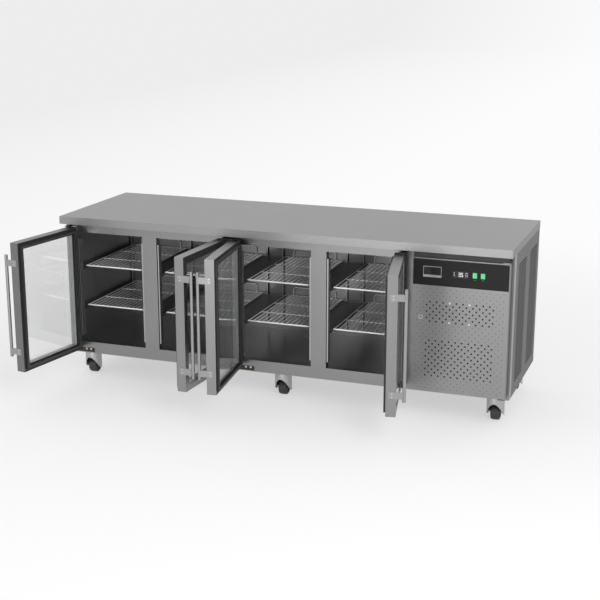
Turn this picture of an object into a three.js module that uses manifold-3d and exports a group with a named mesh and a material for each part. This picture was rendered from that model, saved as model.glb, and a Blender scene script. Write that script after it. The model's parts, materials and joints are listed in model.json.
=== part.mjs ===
// Under counter fridge: a four-door refrigerated worktop cabinet on six castors, with glass
// doors, wire shelves and a refrigeration unit behind a perforated service door at the right.
// Millimetres. X runs to the right, Y to the back and Z up.

import * as THREE from 'three';
import { mergeVertices } from 'three/addons/utils/BufferGeometryUtils.js';
import Module from 'manifold-3d';

const wasm = await Module();
wasm.setup();

// Driving dimensions of the whole cabinet
const overallWidth = 2230;
const overallDepth = 700;
const overallHeight = 835;
const worktopThickness = 37;
const worktopOverhang = 62;
const worktopLip = 66;
const worktopRearLip = 14;
const rearSetback = 10;
const castorHeight = 130;
const gauge = 1.5;
const seat = 0.3;
const weld = 1;
const overrun = 20;

// Front frame
const bayCount = 4;
const leftStileWidth = 58;
const mullionWidth = 75;
const rightStileWidth = 65;
const unitWidth = 447;
const unitStileWidth = 14;
const headerHeight = 48;
const bottomRailHeight = 57;
const unitRailHeight = 30;
const frameDepth = 38;

// Insulated walls
const wallThickness = 53;
const floorThickness = 48.5;
const roofThickness = 43;

// Glass doors
const doorGap = 5;
const doorBottomMargin = 27;
const doorTopMargin = 17;
const doorThickness = 44;
const sealDepth = 10;
const doorFrameWidth = 30;
const innerFrameWidth = 32;
const innerFrameSheet = 3;
const glazingThickness = 38;
const paneThickness = 4;
const spacerWidth = 10;
const glazingLap = 8;
const fillHoleRadius = 2;
const fillHoleSides = 4;
const sealInset = 14;
const sealWidth = 14;
// How far each open door's free edge stands back from square to the cabinet
const doorLeans = [-68.55, 26.17, 52.99, -87.68];
const doorSides = [1, -1, 1, -1];

// Hinges of the glass doors and the service door
const pinInset = 16;
const pinDepth = 6;
const pinRadius = 3;
const pinClearance = 0.5;
const pinLength = 12;
const pinSides = 8;
const hingeGap = 2;
const bracketSheet = 3;
const bracketReach = 105;
const bracketHeight = 20;
const bracketArmWidth = 30;
const bracketNose = 9;

// Door handles
const handleRise = 72;
const handleDrop = 56;
const handleRadius = 8;
const handleSides = 10;
const handleStandoff = 35;
const handlePlateHeight = 31;
const handlePlateInset = 14;
const handlePlateSheet = 1.5;
const handlePlateDepth = 32;

// Shelf racks and shelves
const shelfLevelShares = [0.3277, 0.6874];
const uprightWidth = 10;
const uprightDepth = 25;
const uprightSetback = 5;
const rearUprightDepth = 12;
const uprightLowMargin = 28;
const uprightHighMargin = 35;
const slotCount = 3;
const slotWidth = 6;
const slotHeight = 14;
const runnerSheet = 2;
const runnerHeight = 16;
const runnerLap = 12;
const tieHeight = 12;
const tieDepth = 6;
const shelfSideGap = 23.375;
const shelfBackGap = 6;
const shelfSetback = 39;
const longWireCount = 9;
const crossWireCount = 3;
const longWire = 5;
const crossWire = 6;
const hoopHeight = 42;
const hoopInset = 40;
const hoopRadius = 14;
const hoopSegments = 2;

// Service door with its fascia and controls
const serviceGap = 2;
const serviceRightMargin = 11;
const serviceBottomMargin = 20;
const serviceTopMargin = 27;
const serviceDepth = 50;
const servicePinInset = 12;
const fasciaHeight = 118;
const fasciaTopMargin = 5;
const fasciaSideMargin = 2;
const fasciaSheet = 2;
const holePitch = 30;
const holeRadius = 4;
const holeSides = 4;
const perforationSideMargin = 67;
const lowerZoneRise = 77;
const lowerZoneShare = 0.2657;
const upperZoneShare = 0.1449;
const upperZoneStartShare = 0.4106;
const controllerWidth = 77;
const controllerHeight = 35;
const controllerDepth = 50;
const controllerBezel = 3;
const controllerRim = 3;
const controllerFromRight = 216;
const controlDrop = 63;
const rockerWidth = 18;
const rockerHeight = 25;
const rockerDepth = 12;
const rockerTilt = 7;
const rockerClearance = 0.6;
const rockerFromRight = 153;
const rockerPitch = 36;
const rockerSteps = 4;
const lockRadius = 10;
const lockBarrelRadius = 8;
const lockFlange = 2;
const lockClearance = 1;
const lockFromLeft = 41;
const lockRiseShare = 0.562;
const camLength = 52;
const camWidth = 14;
const camSheet = 2;
const keeperClearance = 1.5;

// Right side panel with louvres
const louvreColumns = 2;
const louvreLengthShare = 0.32;
const louvreHeight = 7;
const louvrePitch = 70;
const louvreGapShare = 0.17;
const louvreSetbackShare = 0.11;
const louvreRise = 40;
const bladeDepth = 9;

// Castors
const castorSideInset = 75;
const castorEndInset = 83;
const wheelRadius = 37.5;
const wheelWidth = 40;
const wheelSides = 12;
const castorTrail = 13;
const hoodRadius = 36;
const hoodWall = 3;
const hoodSides = 8;
const hoodMouthDrop = 41;
const hoodClearance = 3;
const hoodCrown = 4;
const castorPlateWidth = 90;
const castorPlateSheet = 4;
const kingpinRadius = 10;
const kingpinHeadRadius = 13;
const kingpinClearance = 1.2;
const axleRadius = 5;
const axleClearance = 0.6;
const axleHead = 2;
const axleSides = 8;

// Refrigeration unit
const compressorRadius = 75;
const compressorHeight = 190;
const compressorSides = 12;
const compressorDome = 40;
const compressorFootSpan = 190;
const compressorFootDepth = 120;
const compressorFootSheet = 4;
const compressorFootRise = 14;
const compressorSetback = 430;
const condenserWidth = 330;
const condenserHeight = 300;
const condenserDepth = 60;
const condenserSetback = 60;
const shroudDepth = 40;
const fanRingRadius = 125;
const fanRadius = 115;
const fanHubRadius = 28;
const fanBladeCount = 5;
const fanBladeSheet = 3;
const fanBladeDepth = 24;
const fanSides = 14;
const motorRadius = 32;
const motorLength = 40;
const finCount = 8;
const finSlotWidth = 5;
const finSlotDepth = 20;

// Places that follow from the driving dimensions
const leftEnd = -overallWidth / 2;
const rightEnd = overallWidth / 2;
const frameFront = worktopOverhang;
const frameBack = frameFront + frameDepth;
const rearFace = overallDepth - rearSetback;
const bodyTop = overallHeight - worktopThickness;
const bodyBottom = castorHeight;
const unitLeft = rightEnd - unitWidth;
const bayStart = leftEnd + leftStileWidth;
const bayEnd = unitLeft - rightStileWidth;
const bayOpening = (bayEnd - bayStart - (bayCount - 1) * mullionWidth) / bayCount;
const bayPitch = bayOpening + mullionWidth;
const openingLow = bodyBottom + bottomRailHeight;
const openingHigh = bodyTop - headerHeight;
const linerLeft = leftEnd + wallThickness;
const linerRight = unitLeft - wallThickness;
const linerBack = rearFace - wallThickness;
const linerLow = bodyBottom + floorThickness;
const linerHigh = bodyTop - roofThickness;
const doorFront = frameFront - sealDepth - doorThickness;
const doorWidth = bayPitch - doorGap;
const doorBottom = bodyBottom + doorBottomMargin;
const doorHeight = bodyTop - doorTopMargin - doorBottom;
const handleLength = doorHeight - handleRise - handleDrop;
const openingHeight = openingHigh - openingLow;
const shelfLevels = shelfLevelShares.map((share) => openingLow + share * openingHeight);
const uprightLow = openingLow + uprightLowMargin;
const uprightHigh = openingHigh - uprightHighMargin;
const shelfWidth = bayOpening - 2 * shelfSideGap;
const shelfDepth = linerBack - frameFront - shelfSetback - shelfBackGap;
const serviceLeft = unitLeft + serviceGap;
const serviceRight = rightEnd - serviceRightMargin;
const serviceBottom = bodyBottom + serviceBottomMargin;
const serviceTop = bodyTop - serviceTopMargin;
const serviceHeight = serviceTop - serviceBottom;
const controlZ = serviceTop - controlDrop;
const lockZ = serviceBottom + lockRiseShare * serviceHeight;
const rowPitch = holePitch / 2;
const lowerZoneRows = Math.round(lowerZoneShare * serviceHeight / rowPitch) + 1;
const upperZoneRows = Math.round(upperZoneShare * serviceHeight / rowPitch) + 1;
const upperZoneStep = Math.round(upperZoneStartShare * serviceHeight / rowPitch);
const openWidth = serviceRight - serviceLeft - 2 * perforationSideMargin;
const wideRowHoles = Math.round(openWidth / holePitch) + 1;
const controllerMiddle = serviceRight - controllerFromRight;
const controllerX = [controllerMiddle - controllerWidth / 2, controllerMiddle + controllerWidth / 2];
const kingpinLength = hoodCrown + 2 * seat;
const camFront = frameFront + gauge + seat + keeperClearance;
const tiny = 0.001;

const steel = finish(0x9a9a9a, 0.35, 0.9);
const darkSteel = finish(0x3c3d3e, 0.4, 0.7);
const blackPlastic = finish(0x232425, 0.5, 0);
const sealRubber = finish(0x2c2d2e, 0.8, 0);
const clearGlass = finish(0xa8b4b8, 0.05, 0, 0.35);
const brightWire = finish(0xd8d8d6, 0.25, 1);
const foam = finish(0xd8cfae, 0.9, 0);
const fasciaBlack = finish(0x2e2f31, 0.35, 0.2);
const greenLens = finish(0x35c46a, 0.3, 0);
const zinc = finish(0xb4b4b2, 0.35, 0.9);
const bracketZinc = finish(0x5d5444, 0.45, 0.8);
const tyreBlack = finish(0x1f2021, 0.7, 0);
const fanGrey = finish(0x55585a, 0.5, 0.3);

const group = new THREE.Group();

function finish(color, roughness, metalness, opacity = 1) {
  const transparent = opacity < 1;
  return new THREE.MeshStandardMaterial({ color, roughness, metalness, opacity, transparent });
}

// A closed three.js geometry as a solid that can be joined and cut
function solidOf(geometry) {
  const bare = geometry.clone();
  bare.deleteAttribute('normal');
  bare.deleteAttribute('uv');
  const merged = mergeVertices(bare, tiny);
  const vertProperties = Float32Array.from(merged.attributes.position.array);
  const triVerts = Uint32Array.from(merged.index.array);
  return new wasm.Manifold(new wasm.Mesh({ numProp: 3, vertProperties, triVerts }));
}

function geometryOf(solid) {
  const mesh = solid.getMesh();
  const geometry = new THREE.BufferGeometry();
  geometry.setAttribute('position', new THREE.BufferAttribute(mesh.vertProperties, 3));
  geometry.setIndex(new THREE.BufferAttribute(mesh.triVerts, 1));
  geometry.computeVertexNormals();
  return geometry;
}

function addPart(name, solid, material, parent = group) {
  const mesh = new THREE.Mesh(geometryOf(solid), material);
  mesh.name = name;
  parent.add(mesh);
  return mesh;
}

function joined(solids) {
  return solids.reduce((whole, next) => whole.add(next));
}

function cutFrom(body, tools) {
  return tools.reduce((whole, tool) => whole.subtract(tool), body);
}

// A box between pairs of limits, given in either order
function block(x, y, z) {
  const size = [x, y, z].map((pair) => Math.abs(pair[1] - pair[0]));
  const middle = [x, y, z].map((pair) => (pair[0] + pair[1]) / 2);
  const geometry = new THREE.BoxGeometry(...size);
  geometry.translate(...middle);
  return solidOf(geometry);
}

// A round bar between two points, as a prism with a flat facing down or along its first side
function rod(radius, sides, start, end, endRadius = radius) {
  const from = new THREE.Vector3(...start);
  const run = new THREE.Vector3(...end).sub(from);
  const geometry = new THREE.CylinderGeometry(endRadius, radius, run.length(), sides);
  geometry.rotateY(Math.PI / sides);
  const up = new THREE.Vector3(0, 1, 0);
  geometry.applyQuaternion(new THREE.Quaternion().setFromUnitVectors(up, run.clone().normalize()));
  geometry.translate(...from.addScaledVector(run, 1 / 2).toArray());
  return solidOf(geometry);
}

// A flat outline in X and Z, given thickness along Y from its front to its back
function plateXZ(shape, front, back, curveSegments = hoopSegments) {
  const settings = { depth: back - front, bevelEnabled: false, curveSegments };
  const geometry = new THREE.ExtrudeGeometry(shape, settings);
  geometry.rotateX(Math.PI / 2);
  geometry.translate(0, back, 0);
  return solidOf(geometry);
}

function bayLow(bay) {
  return bayStart + bay * bayPitch;
}

function makeWorktop() {
  const skin = block([leftEnd, rightEnd], [0, overallDepth], [bodyTop, overallHeight]);
  const pocketX = [leftEnd + gauge, rightEnd - gauge];
  const pocketY = [gauge, overallDepth - gauge];
  const pocket = block(pocketX, pocketY, [bodyTop + gauge, overallHeight - gauge]);
  const mouthX = [leftEnd + worktopRearLip, rightEnd - worktopRearLip];
  const mouthY = [worktopLip, overallDepth - worktopRearLip];
  const mouth = block(mouthX, mouthY, [bodyTop - overrun, bodyTop + overrun / 2]);
  addPart('worktop', cutFrom(skin, [pocket, mouth]), steel);
}

// Centres of the six castors, front row first
function castorPlaces() {
  const columns = [leftEnd + castorSideInset, (leftEnd + rightEnd) / 2, rightEnd - castorSideInset];
  const rows = [frameFront + castorEndInset, rearFace - castorEndInset];
  return rows.flatMap((y) => columns.map((x) => [x, y]));
}

// Folded outer skin: left side, rear wall, base and the divider beside the unit
function makeCasing() {
  const top = bodyTop - seat;
  const front = frameBack + seat;
  const right = rightEnd - gauge - seat;
  const left = block([leftEnd, leftEnd + gauge], [front, rearFace], [bodyBottom, top]);
  const rear = block([leftEnd, right], [rearFace - gauge, rearFace], [bodyBottom, top]);
  const base = block([leftEnd, right], [front, rearFace], [bodyBottom, bodyBottom + gauge]);
  const divider = block([unitLeft - gauge, unitLeft], [front, rearFace], [bodyBottom, top]);
  const plates = castorPlaces().map(([x, y]) => {
    const half = castorPlateWidth / 2;
    const plateLow = bodyBottom - castorPlateSheet;
    return block([x - half, x + half], [y - half, y + half], [plateLow, bodyBottom + gauge / 2]);
  });
  const pins = castorPlaces().map(([x, y]) => {
    const start = bodyBottom - castorPlateSheet / 2;
    const end = bodyBottom - castorPlateSheet - kingpinLength;
    return rod(kingpinRadius, pinSides, [x, y, start], [x, y, end]);
  });
  const heads = castorPlaces().map(([x, y]) => {
    const headTop = bodyBottom - castorPlateSheet - kingpinLength + tiny;
    return rod(kingpinHeadRadius, pinSides, [x, y, headTop], [x, y, headTop - castorPlateSheet]);
  });
  addPart('outer_casing', joined([left, rear, base, divider, ...plates, ...pins, ...heads]), steel);
}

function makeInsulation() {
  const outerX = [leftEnd + gauge + seat, unitLeft - gauge - seat];
  const outerY = [frameBack + seat, rearFace - gauge - seat];
  const outerZ = [bodyBottom + gauge + seat, bodyTop - seat];
  const hollowX = [linerLeft - gauge - seat, linerRight + gauge + seat];
  const hollowY = [frameFront, linerBack + gauge + seat];
  const hollowZ = [linerLow - gauge - seat, linerHigh + gauge + seat];
  const hollow = block(hollowX, hollowY, hollowZ);
  addPart('insulation', block(outerX, outerY, outerZ).subtract(hollow), foam);
}

function makeLiner() {
  const front = frameBack + seat;
  const outerX = [linerLeft - gauge, linerRight + gauge];
  const outer = block(outerX, [front, linerBack + gauge], [linerLow - gauge, linerHigh + gauge]);
  const inner = block([linerLeft, linerRight], [frameFront, linerBack], [linerLow, linerHigh]);
  addPart('inner_liner', outer.subtract(inner), darkSteel);
}

// Hinge places: x of the pin, the side the door reaches to and the limits of its leaf
function glassHinges() {
  return doorSides.map((side, bay) => {
    const centre = bayLow(bay) + bayOpening / 2;
    return { side, edge: centre - side * doorWidth / 2, pinInset, low: doorBottom, height: doorHeight };
  });
}

function serviceHinge() {
  const [edge, low, height] = [serviceRight, serviceBottom, serviceHeight];
  return { side: -1, edge, pinInset: servicePinInset, low, height };
}

// A folded bracket screwed to the frame's face, with an arm that carries the pin
function hingeBracket(hinge, reach, above) {
  const sign = above ? 1 : -1;
  const leafEnd = above ? hinge.low + hinge.height : hinge.low;
  const armNear = leafEnd + sign * hingeGap;
  const armFar = armNear + sign * bracketSheet;
  const room = above ? bodyTop - seat - armNear : bracketHeight;
  const plateFar = armNear + sign * Math.min(bracketHeight, room);
  const back = frameFront - seat;
  const pinX = hinge.edge + hinge.side * hinge.pinInset;
  const pinY = doorFront + pinDepth;
  const plateX = [hinge.edge + hinge.side * hingeGap, hinge.edge + hinge.side * reach];
  const armX = [hinge.edge + hinge.side * hingeGap, hinge.edge + hinge.side * bracketArmWidth];
  const plate = block(plateX, [back - bracketSheet, back], [armNear, plateFar]);
  const arm = block(armX, [pinY - bracketNose, back], [armNear, armFar]);
  const pinFrom = [pinX, pinY, (armNear + armFar) / 2];
  const pin = rod(pinRadius, pinSides, pinFrom, [pinX, pinY, armNear - sign * pinLength]);
  return joined([plate, arm, pin]);
}

// Welded front frame of channel section, with the upper hinge arms and the unit's hinge arms
function makeFrontFrame() {
  const openings = [];
  for (let bay = 0; bay < bayCount; bay += 1) {
    openings.push({ x: [bayLow(bay), bayLow(bay) + bayOpening], z: [openingLow, openingHigh] });
  }
  const unitX = [unitLeft, rightEnd - unitStileWidth];
  openings.push({ x: unitX, z: [bodyBottom + unitRailHeight, openingHigh] });
  const frameZ = [bodyBottom, bodyTop - seat];
  const blank = block([leftEnd, rightEnd], [frameFront, frameBack], frameZ);
  const hollowY = [frameFront + gauge, frameBack + overrun];
  const hollowX = [leftEnd + gauge, rightEnd - gauge];
  const hollow = block(hollowX, hollowY, [frameZ[0] + gauge, frameZ[1] - gauge]);
  const sleeves = openings.map(({ x, z }) => {
    const sleeveX = [x[0] - gauge, x[1] + gauge];
    return block(sleeveX, [frameFront, frameBack], [z[0] - gauge, z[1] + gauge]);
  });
  const windows = openings.map(({ x, z }) => block(x, [frameFront - overrun, frameBack + overrun], z));
  const keeperX = [unitLeft - overrun, unitLeft + overrun];
  const keeperY = [camFront - keeperClearance, camFront + camSheet + keeperClearance];
  const keeper = block(keeperX, keeperY, [lockZ - camLength, lockZ + camWidth]);
  const shell = cutFrom(joined([blank.subtract(hollow), ...sleeves]), [...windows, keeper]);
  const welded = (hinge, above) => {
    const bracket = hingeBracket(hinge, bracketArmWidth + hingeGap, above);
    const leafEnd = above ? hinge.low + hinge.height + hingeGap : hinge.low - hingeGap;
    const far = leafEnd + (above ? bracketSheet : -bracketSheet);
    const padX = [hinge.edge + hinge.side * hingeGap, hinge.edge + hinge.side * bracketArmWidth];
    const pad = block(padX, [frameFront - bracketSheet, frameFront + gauge / 2], [leafEnd, far]);
    return bracket.add(pad);
  };
  const upper = glassHinges().map((hinge) => welded(hinge, true));
  const service = [welded(serviceHinge(), true), welded(serviceHinge(), false)];
  addPart('front_frame', joined([shell, ...upper, ...service]), steel);
}

function makeLowerBrackets() {
  glassHinges().forEach((hinge, bay) => {
    addPart(`door_${bay + 1}_lower_hinge`, hingeBracket(hinge, bracketReach, false), bracketZinc);
  });
}

// One side of a shelf rack: a slotted front upright, a rear upright and a runner at each level.
// side is the way from the wall or mullion face into the bay.
function rackSide(face, side) {
  const near = face + side * seat;
  const far = face + side * uprightWidth;
  const frontY = [frameFront + uprightSetback, frameFront + uprightSetback + uprightDepth];
  const rearY = [linerBack - seat - rearUprightDepth, linerBack - seat];
  const uprightZ = [uprightLow, uprightHigh];
  const pieces = [block([near, far], frontY, uprightZ), block([near, far], rearY, uprightZ)];
  shelfLevels.forEach((level) => {
    const top = level - crossWire - seat;
    const webX = [far, far - side * runnerSheet];
    const shelfEdge = face + side * (bayOpening - shelfWidth) / 2;
    const flangeX = [far - side * runnerSheet, shelfEdge + side * runnerLap];
    const runnerY = [frontY[1] - weld, rearY[0] + weld];
    pieces.push(block(webX, runnerY, [top - runnerHeight, top]));
    pieces.push(block(flangeX, runnerY, [top - runnerSheet, top]));
  });
  const slotPitch = (uprightHigh - uprightLow) / slotCount;
  const slots = [];
  for (let slot = 0; slot < slotCount; slot += 1) {
    const middle = uprightLow + slotPitch * (slot + 1 / 2);
    const slotZ = [middle - slotHeight / 2, middle + slotHeight / 2];
    const slotY = [frontY[0] + weld, frontY[0] + weld + slotWidth];
    slots.push(block([far - side * slotWidth, far + side * overrun], slotY, slotZ));
  }
  return cutFrom(joined(pieces), slots);
}

function makeRacks() {
  addPart('shelf_rack_left', rackSide(bayStart, 1), darkSteel);
  for (let bay = 1; bay < bayCount; bay += 1) {
    const mullion = [bayLow(bay) - mullionWidth, bayLow(bay)];
    const backY = linerBack - seat - rearUprightDepth;
    const ties = shelfLevels.map((level) => {
      const high = level - crossWire;
      const tieX = [mullion[0] - weld, mullion[1] + weld];
      return block(tieX, [backY, backY + tieDepth], [high - tieHeight, high]);
    });
    const sides = [rackSide(mullion[0], -1), rackSide(mullion[1], 1)];
    addPart(`shelf_rack_${bay}`, joined([...sides, ...ties]), darkSteel);
  }
  addPart('shelf_rack_right', rackSide(bayEnd, -1), darkSteel);
}

// A round-cornered hoop, outer outline out and inner outline back
function hoopShape(halfWidth, low, high) {
  const inner = halfWidth - crossWire;
  const innerRadius = hoopRadius - crossWire;
  const cornerZ = high - hoopRadius;
  const shape = new THREE.Shape();
  shape.moveTo(halfWidth, low);
  shape.lineTo(halfWidth, cornerZ);
  shape.absarc(halfWidth - hoopRadius, cornerZ, hoopRadius, 0, Math.PI / 2, false);
  shape.lineTo(hoopRadius - halfWidth, high);
  shape.absarc(hoopRadius - halfWidth, cornerZ, hoopRadius, Math.PI / 2, Math.PI, false);
  shape.lineTo(-halfWidth, low);
  shape.lineTo(-inner, low);
  shape.lineTo(-inner, cornerZ);
  shape.absarc(innerRadius - inner, cornerZ, innerRadius, Math.PI, Math.PI / 2, true);
  shape.lineTo(inner - innerRadius, high - crossWire);
  shape.absarc(inner - innerRadius, cornerZ, innerRadius, Math.PI / 2, 0, true);
  shape.lineTo(inner, low);
  return shape;
}

// Welded wire shelf: a flush mat of long and cross wires, and a hoop standing on its back wire
function shelfSolid() {
  const half = shelfWidth / 2;
  const longPitch = (shelfWidth - longWire) / (longWireCount - 1);
  const crossPitch = (shelfDepth - crossWire) / (crossWireCount - 1);
  const gaps = [];
  for (let column = 0; column < longWireCount - 1; column += 1) {
    for (let row = 0; row < crossWireCount - 1; row += 1) {
      const x = -half + longWire + column * longPitch;
      const y = crossWire + row * crossPitch;
      const gapX = [x, x + longPitch - longWire];
      gaps.push(block(gapX, [y, y + crossPitch - crossWire], [-overrun, overrun]));
    }
  }
  const mat = cutFrom(block([-half, half], [0, shelfDepth], [-crossWire, 0]), gaps);
  const hoop = hoopShape(half - hoopInset, -crossWire / 2, hoopHeight);
  const hoopFront = shelfDepth - crossWire + weld;
  return mat.add(plateXZ(hoop, hoopFront, hoopFront + crossWire - weld));
}

function makeShelves() {
  const solid = shelfSolid();
  for (let bay = 0; bay < bayCount; bay += 1) {
    shelfLevels.forEach((level, row) => {
      const mesh = addPart(`shelf_${bay + 1}_${row ? 'upper' : 'lower'}`, solid, brightWire);
      mesh.position.set(bayLow(bay) + bayOpening / 2, frameFront + shelfSetback, level);
    });
  }
}

// A leaf's own frame starts at its hinge pin. Inset is measured from the hinge edge towards
// the free edge and depth from the front face to the back.
function leafRange(side, inset, from, to) {
  return [side * (from - inset), side * (to - inset)];
}

function leafBlock(side, x, depth, z) {
  const depthRange = [depth[0] - pinDepth, depth[1] - pinDepth];
  return block(leafRange(side, pinInset, ...x), depthRange, z);
}

// A rectangular ring of the leaf between two insets from its edges
function leafRing(side, outer, inner, depth) {
  const ringOf = (inset, margin) => {
    const ringDepth = [depth[0] - margin, depth[1] + margin];
    const ringZ = [doorBottom + inset, doorBottom + doorHeight - inset];
    return leafBlock(side, [inset, doorWidth - inset], ringDepth, ringZ);
  };
  return ringOf(outer, 0).subtract(ringOf(inner, overrun));
}

function makeDoorFrame(side) {
  const wall = leafRing(side, 0, gauge, [0, doorThickness]);
  const face = leafRing(side, 0, doorFrameWidth, [0, gauge]);
  const radius = pinRadius + pinClearance;
  const low = [0, 0, doorBottom - overrun];
  const high = [0, 0, doorBottom + doorHeight + overrun];
  return joined([wall, face]).subtract(rod(radius, pinSides, low, high));
}

function makeGlazing(side) {
  const edge = doorFrameWidth - glazingLap;
  const front = gauge + seat;
  const back = front + glazingThickness;
  const zRange = [doorBottom + edge, doorBottom + doorHeight - edge];
  const slab = leafBlock(side, [edge, doorWidth - edge], [front, back], zRange);
  const gapX = [edge + spacerWidth, doorWidth - edge - spacerWidth];
  const gapDepth = [front + paneThickness, back - paneThickness];
  const gapZ = [zRange[0] + spacerWidth, zRange[1] - spacerWidth];
  const airGap = leafBlock(side, gapX, gapDepth, gapZ);
  const holeX = side * (doorWidth / 2 - pinInset);
  const holeY = (front + back) / 2 - pinDepth;
  const holeStart = [holeX, holeY, zRange[0] - overrun];
  const holeEnd = [holeX, holeY, zRange[0] + spacerWidth + overrun];
  const fillHole = rod(fillHoleRadius, fillHoleSides, holeStart, holeEnd);
  return cutFrom(slab, [airGap, fillHole]);
}

// Dark inner frame with the lip that holds the glass and the magnetic seal on its back
function makeGasket(side) {
  const sheetFront = doorThickness - innerFrameSheet;
  const glassBack = gauge + seat + glazingThickness + seat;
  const sheet = leafRing(side, gauge + seat, innerFrameWidth, [sheetFront, doorThickness]);
  const lipInset = innerFrameWidth - (innerFrameWidth - doorFrameWidth + glazingLap) / 2;
  const lip = leafRing(side, lipInset, innerFrameWidth, [glassBack, sheetFront + weld]);
  const sealBack = doorThickness + sealDepth - seat;
  const seal = leafRing(side, sealInset, sealInset + sealWidth, [doorThickness - weld, sealBack]);
  return joined([sheet, lip, seal]);
}

function makeHandle(side) {
  const plateInner = doorWidth + seat;
  const plateOuter = plateInner + handlePlateSheet;
  const barX = side * (plateInner + weld - handleRadius - pinInset);
  const barY = -handleStandoff - pinDepth;
  const barLow = doorBottom + handleRise;
  const bar = rod(handleRadius, handleSides, [barX, barY, barLow], [barX, barY, barLow + handleLength]);
  const plateStarts = [
    barLow + handlePlateInset,
    barLow + handleLength - handlePlateInset - handlePlateHeight,
  ];
  const plates = plateStarts.map((low) => {
    const plateDepth = [-handleStandoff, handlePlateDepth];
    return leafBlock(side, [plateInner, plateOuter], plateDepth, [low, low + handlePlateHeight]);
  });
  return joined([bar, ...plates]);
}

function makeDoors() {
  glassHinges().forEach((hinge, bay) => {
    const leaf = new THREE.Group();
    leaf.position.set(hinge.edge + hinge.side * pinInset, doorFront + pinDepth, 0);
    leaf.rotation.z = hinge.side * (Math.asin(doorLeans[bay] / doorWidth) - Math.PI / 2);
    group.add(leaf);
    addPart(`door_${bay + 1}_frame`, makeDoorFrame(hinge.side), steel, leaf);
    addPart(`door_${bay + 1}_glass`, makeGlazing(hinge.side), clearGlass, leaf);
    addPart(`door_${bay + 1}_gasket`, makeGasket(hinge.side), sealRubber, leaf);
    addPart(`door_${bay + 1}_handle`, makeHandle(hinge.side), steel, leaf);
  });
}

// Staggered rows of holes: wide rows, and rows of one hole less between them
function perforation(centreX, low, rows, firstWide) {
  const tools = [];
  for (let row = 0; row < rows; row += 1) {
    const wide = (row % 2 === 0) === firstWide;
    const count = wide ? wideRowHoles : wideRowHoles - 1;
    const z = low + row * rowPitch;
    for (let hole = 0; hole < count; hole += 1) {
      const x = centreX + (hole - (count - 1) / 2) * holePitch;
      const front = [x, doorFront - overrun, z];
      tools.push(rod(holeRadius, holeSides, front, [x, doorFront + overrun, z]));
    }
  }
  return tools;
}

function rockerCentres() {
  const first = serviceRight - rockerFromRight;
  return [first, first + rockerPitch];
}

// The holes that the controller and the rockers pass through, in the fascia and the door
function controlCuts() {
  const deep = [doorFront - overrun, doorFront + overrun];
  const bodyX = [controllerX[0] + controllerRim - seat, controllerX[1] - controllerRim + seat];
  const bodyHalf = controllerHeight / 2 - controllerRim + seat;
  const cuts = [block(bodyX, deep, [controlZ - bodyHalf, controlZ + bodyHalf])];
  rockerCentres().forEach((x) => {
    const halfWidth = rockerWidth / 2 + rockerClearance;
    const halfHeight = rockerHeight / 2 + rockerClearance;
    const cutZ = [controlZ - halfHeight, controlZ + halfHeight];
    cuts.push(block([x - halfWidth, x + halfWidth], deep, cutZ));
  });
  return cuts;
}

// Service door: a folded tray, perforated in two zones, hung at its right edge
function makeServiceDoor(leaf) {
  const outerX = [serviceLeft, serviceRight];
  const tray = block(outerX, [doorFront, doorFront + serviceDepth], [serviceBottom, serviceTop]);
  const innerX = [serviceLeft + gauge, serviceRight - gauge];
  const innerY = [doorFront + gauge, doorFront + serviceDepth + overrun];
  const inner = block(innerX, innerY, [serviceBottom + gauge, serviceTop - gauge]);
  const middle = (serviceLeft + serviceRight) / 2;
  const lowerZone = perforation(middle, serviceBottom + lowerZoneRise, lowerZoneRows, true);
  const upperLow = serviceBottom + lowerZoneRise + upperZoneStep * rowPitch;
  const upperZone = perforation(middle, upperLow, upperZoneRows, upperZoneStep % 2 === 0);
  const pinX = serviceRight - servicePinInset;
  const pinY = doorFront + pinDepth;
  const pinHoleStart = [pinX, pinY, serviceBottom - overrun];
  const pinHoleEnd = [pinX, pinY, serviceTop + overrun];
  const pinHole = rod(pinRadius + pinClearance, pinSides, pinHoleStart, pinHoleEnd);
  const lockX = serviceLeft + lockFromLeft;
  const lockHoleEnd = [lockX, doorFront + overrun, lockZ];
  const lockHole = rod(lockBarrelRadius + lockClearance, pinSides, [lockX, 0, lockZ], lockHoleEnd);
  const cuts = [inner, pinHole, lockHole, ...controlCuts(), ...lowerZone, ...upperZone];
  addPart('service_door', cutFrom(tray, cuts), steel, leaf);
}

function makeFascia(leaf) {
  const fasciaX = [serviceLeft + fasciaSideMargin, serviceRight - fasciaSideMargin];
  const fasciaTop = serviceTop - fasciaTopMargin;
  const back = doorFront - seat;
  const plate = block(fasciaX, [back - fasciaSheet, back], [fasciaTop - fasciaHeight, fasciaTop]);
  addPart('control_fascia', cutFrom(plate, controlCuts()), fasciaBlack, leaf);
}

function makeController(leaf) {
  const bezelBack = doorFront - seat - fasciaSheet - seat;
  const half = controllerHeight / 2;
  const bezelZ = [controlZ - half, controlZ + half];
  const bezel = block(controllerX, [bezelBack - controllerBezel, bezelBack], bezelZ);
  const bodyX = [controllerX[0] + controllerRim, controllerX[1] - controllerRim];
  const bodyZ = [bezelZ[0] + controllerRim, bezelZ[1] - controllerRim];
  const body = block(bodyX, [bezelBack - weld, bezelBack + controllerDepth], bodyZ);
  addPart('controller', bezel.add(body), blackPlastic, leaf);
}

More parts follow.
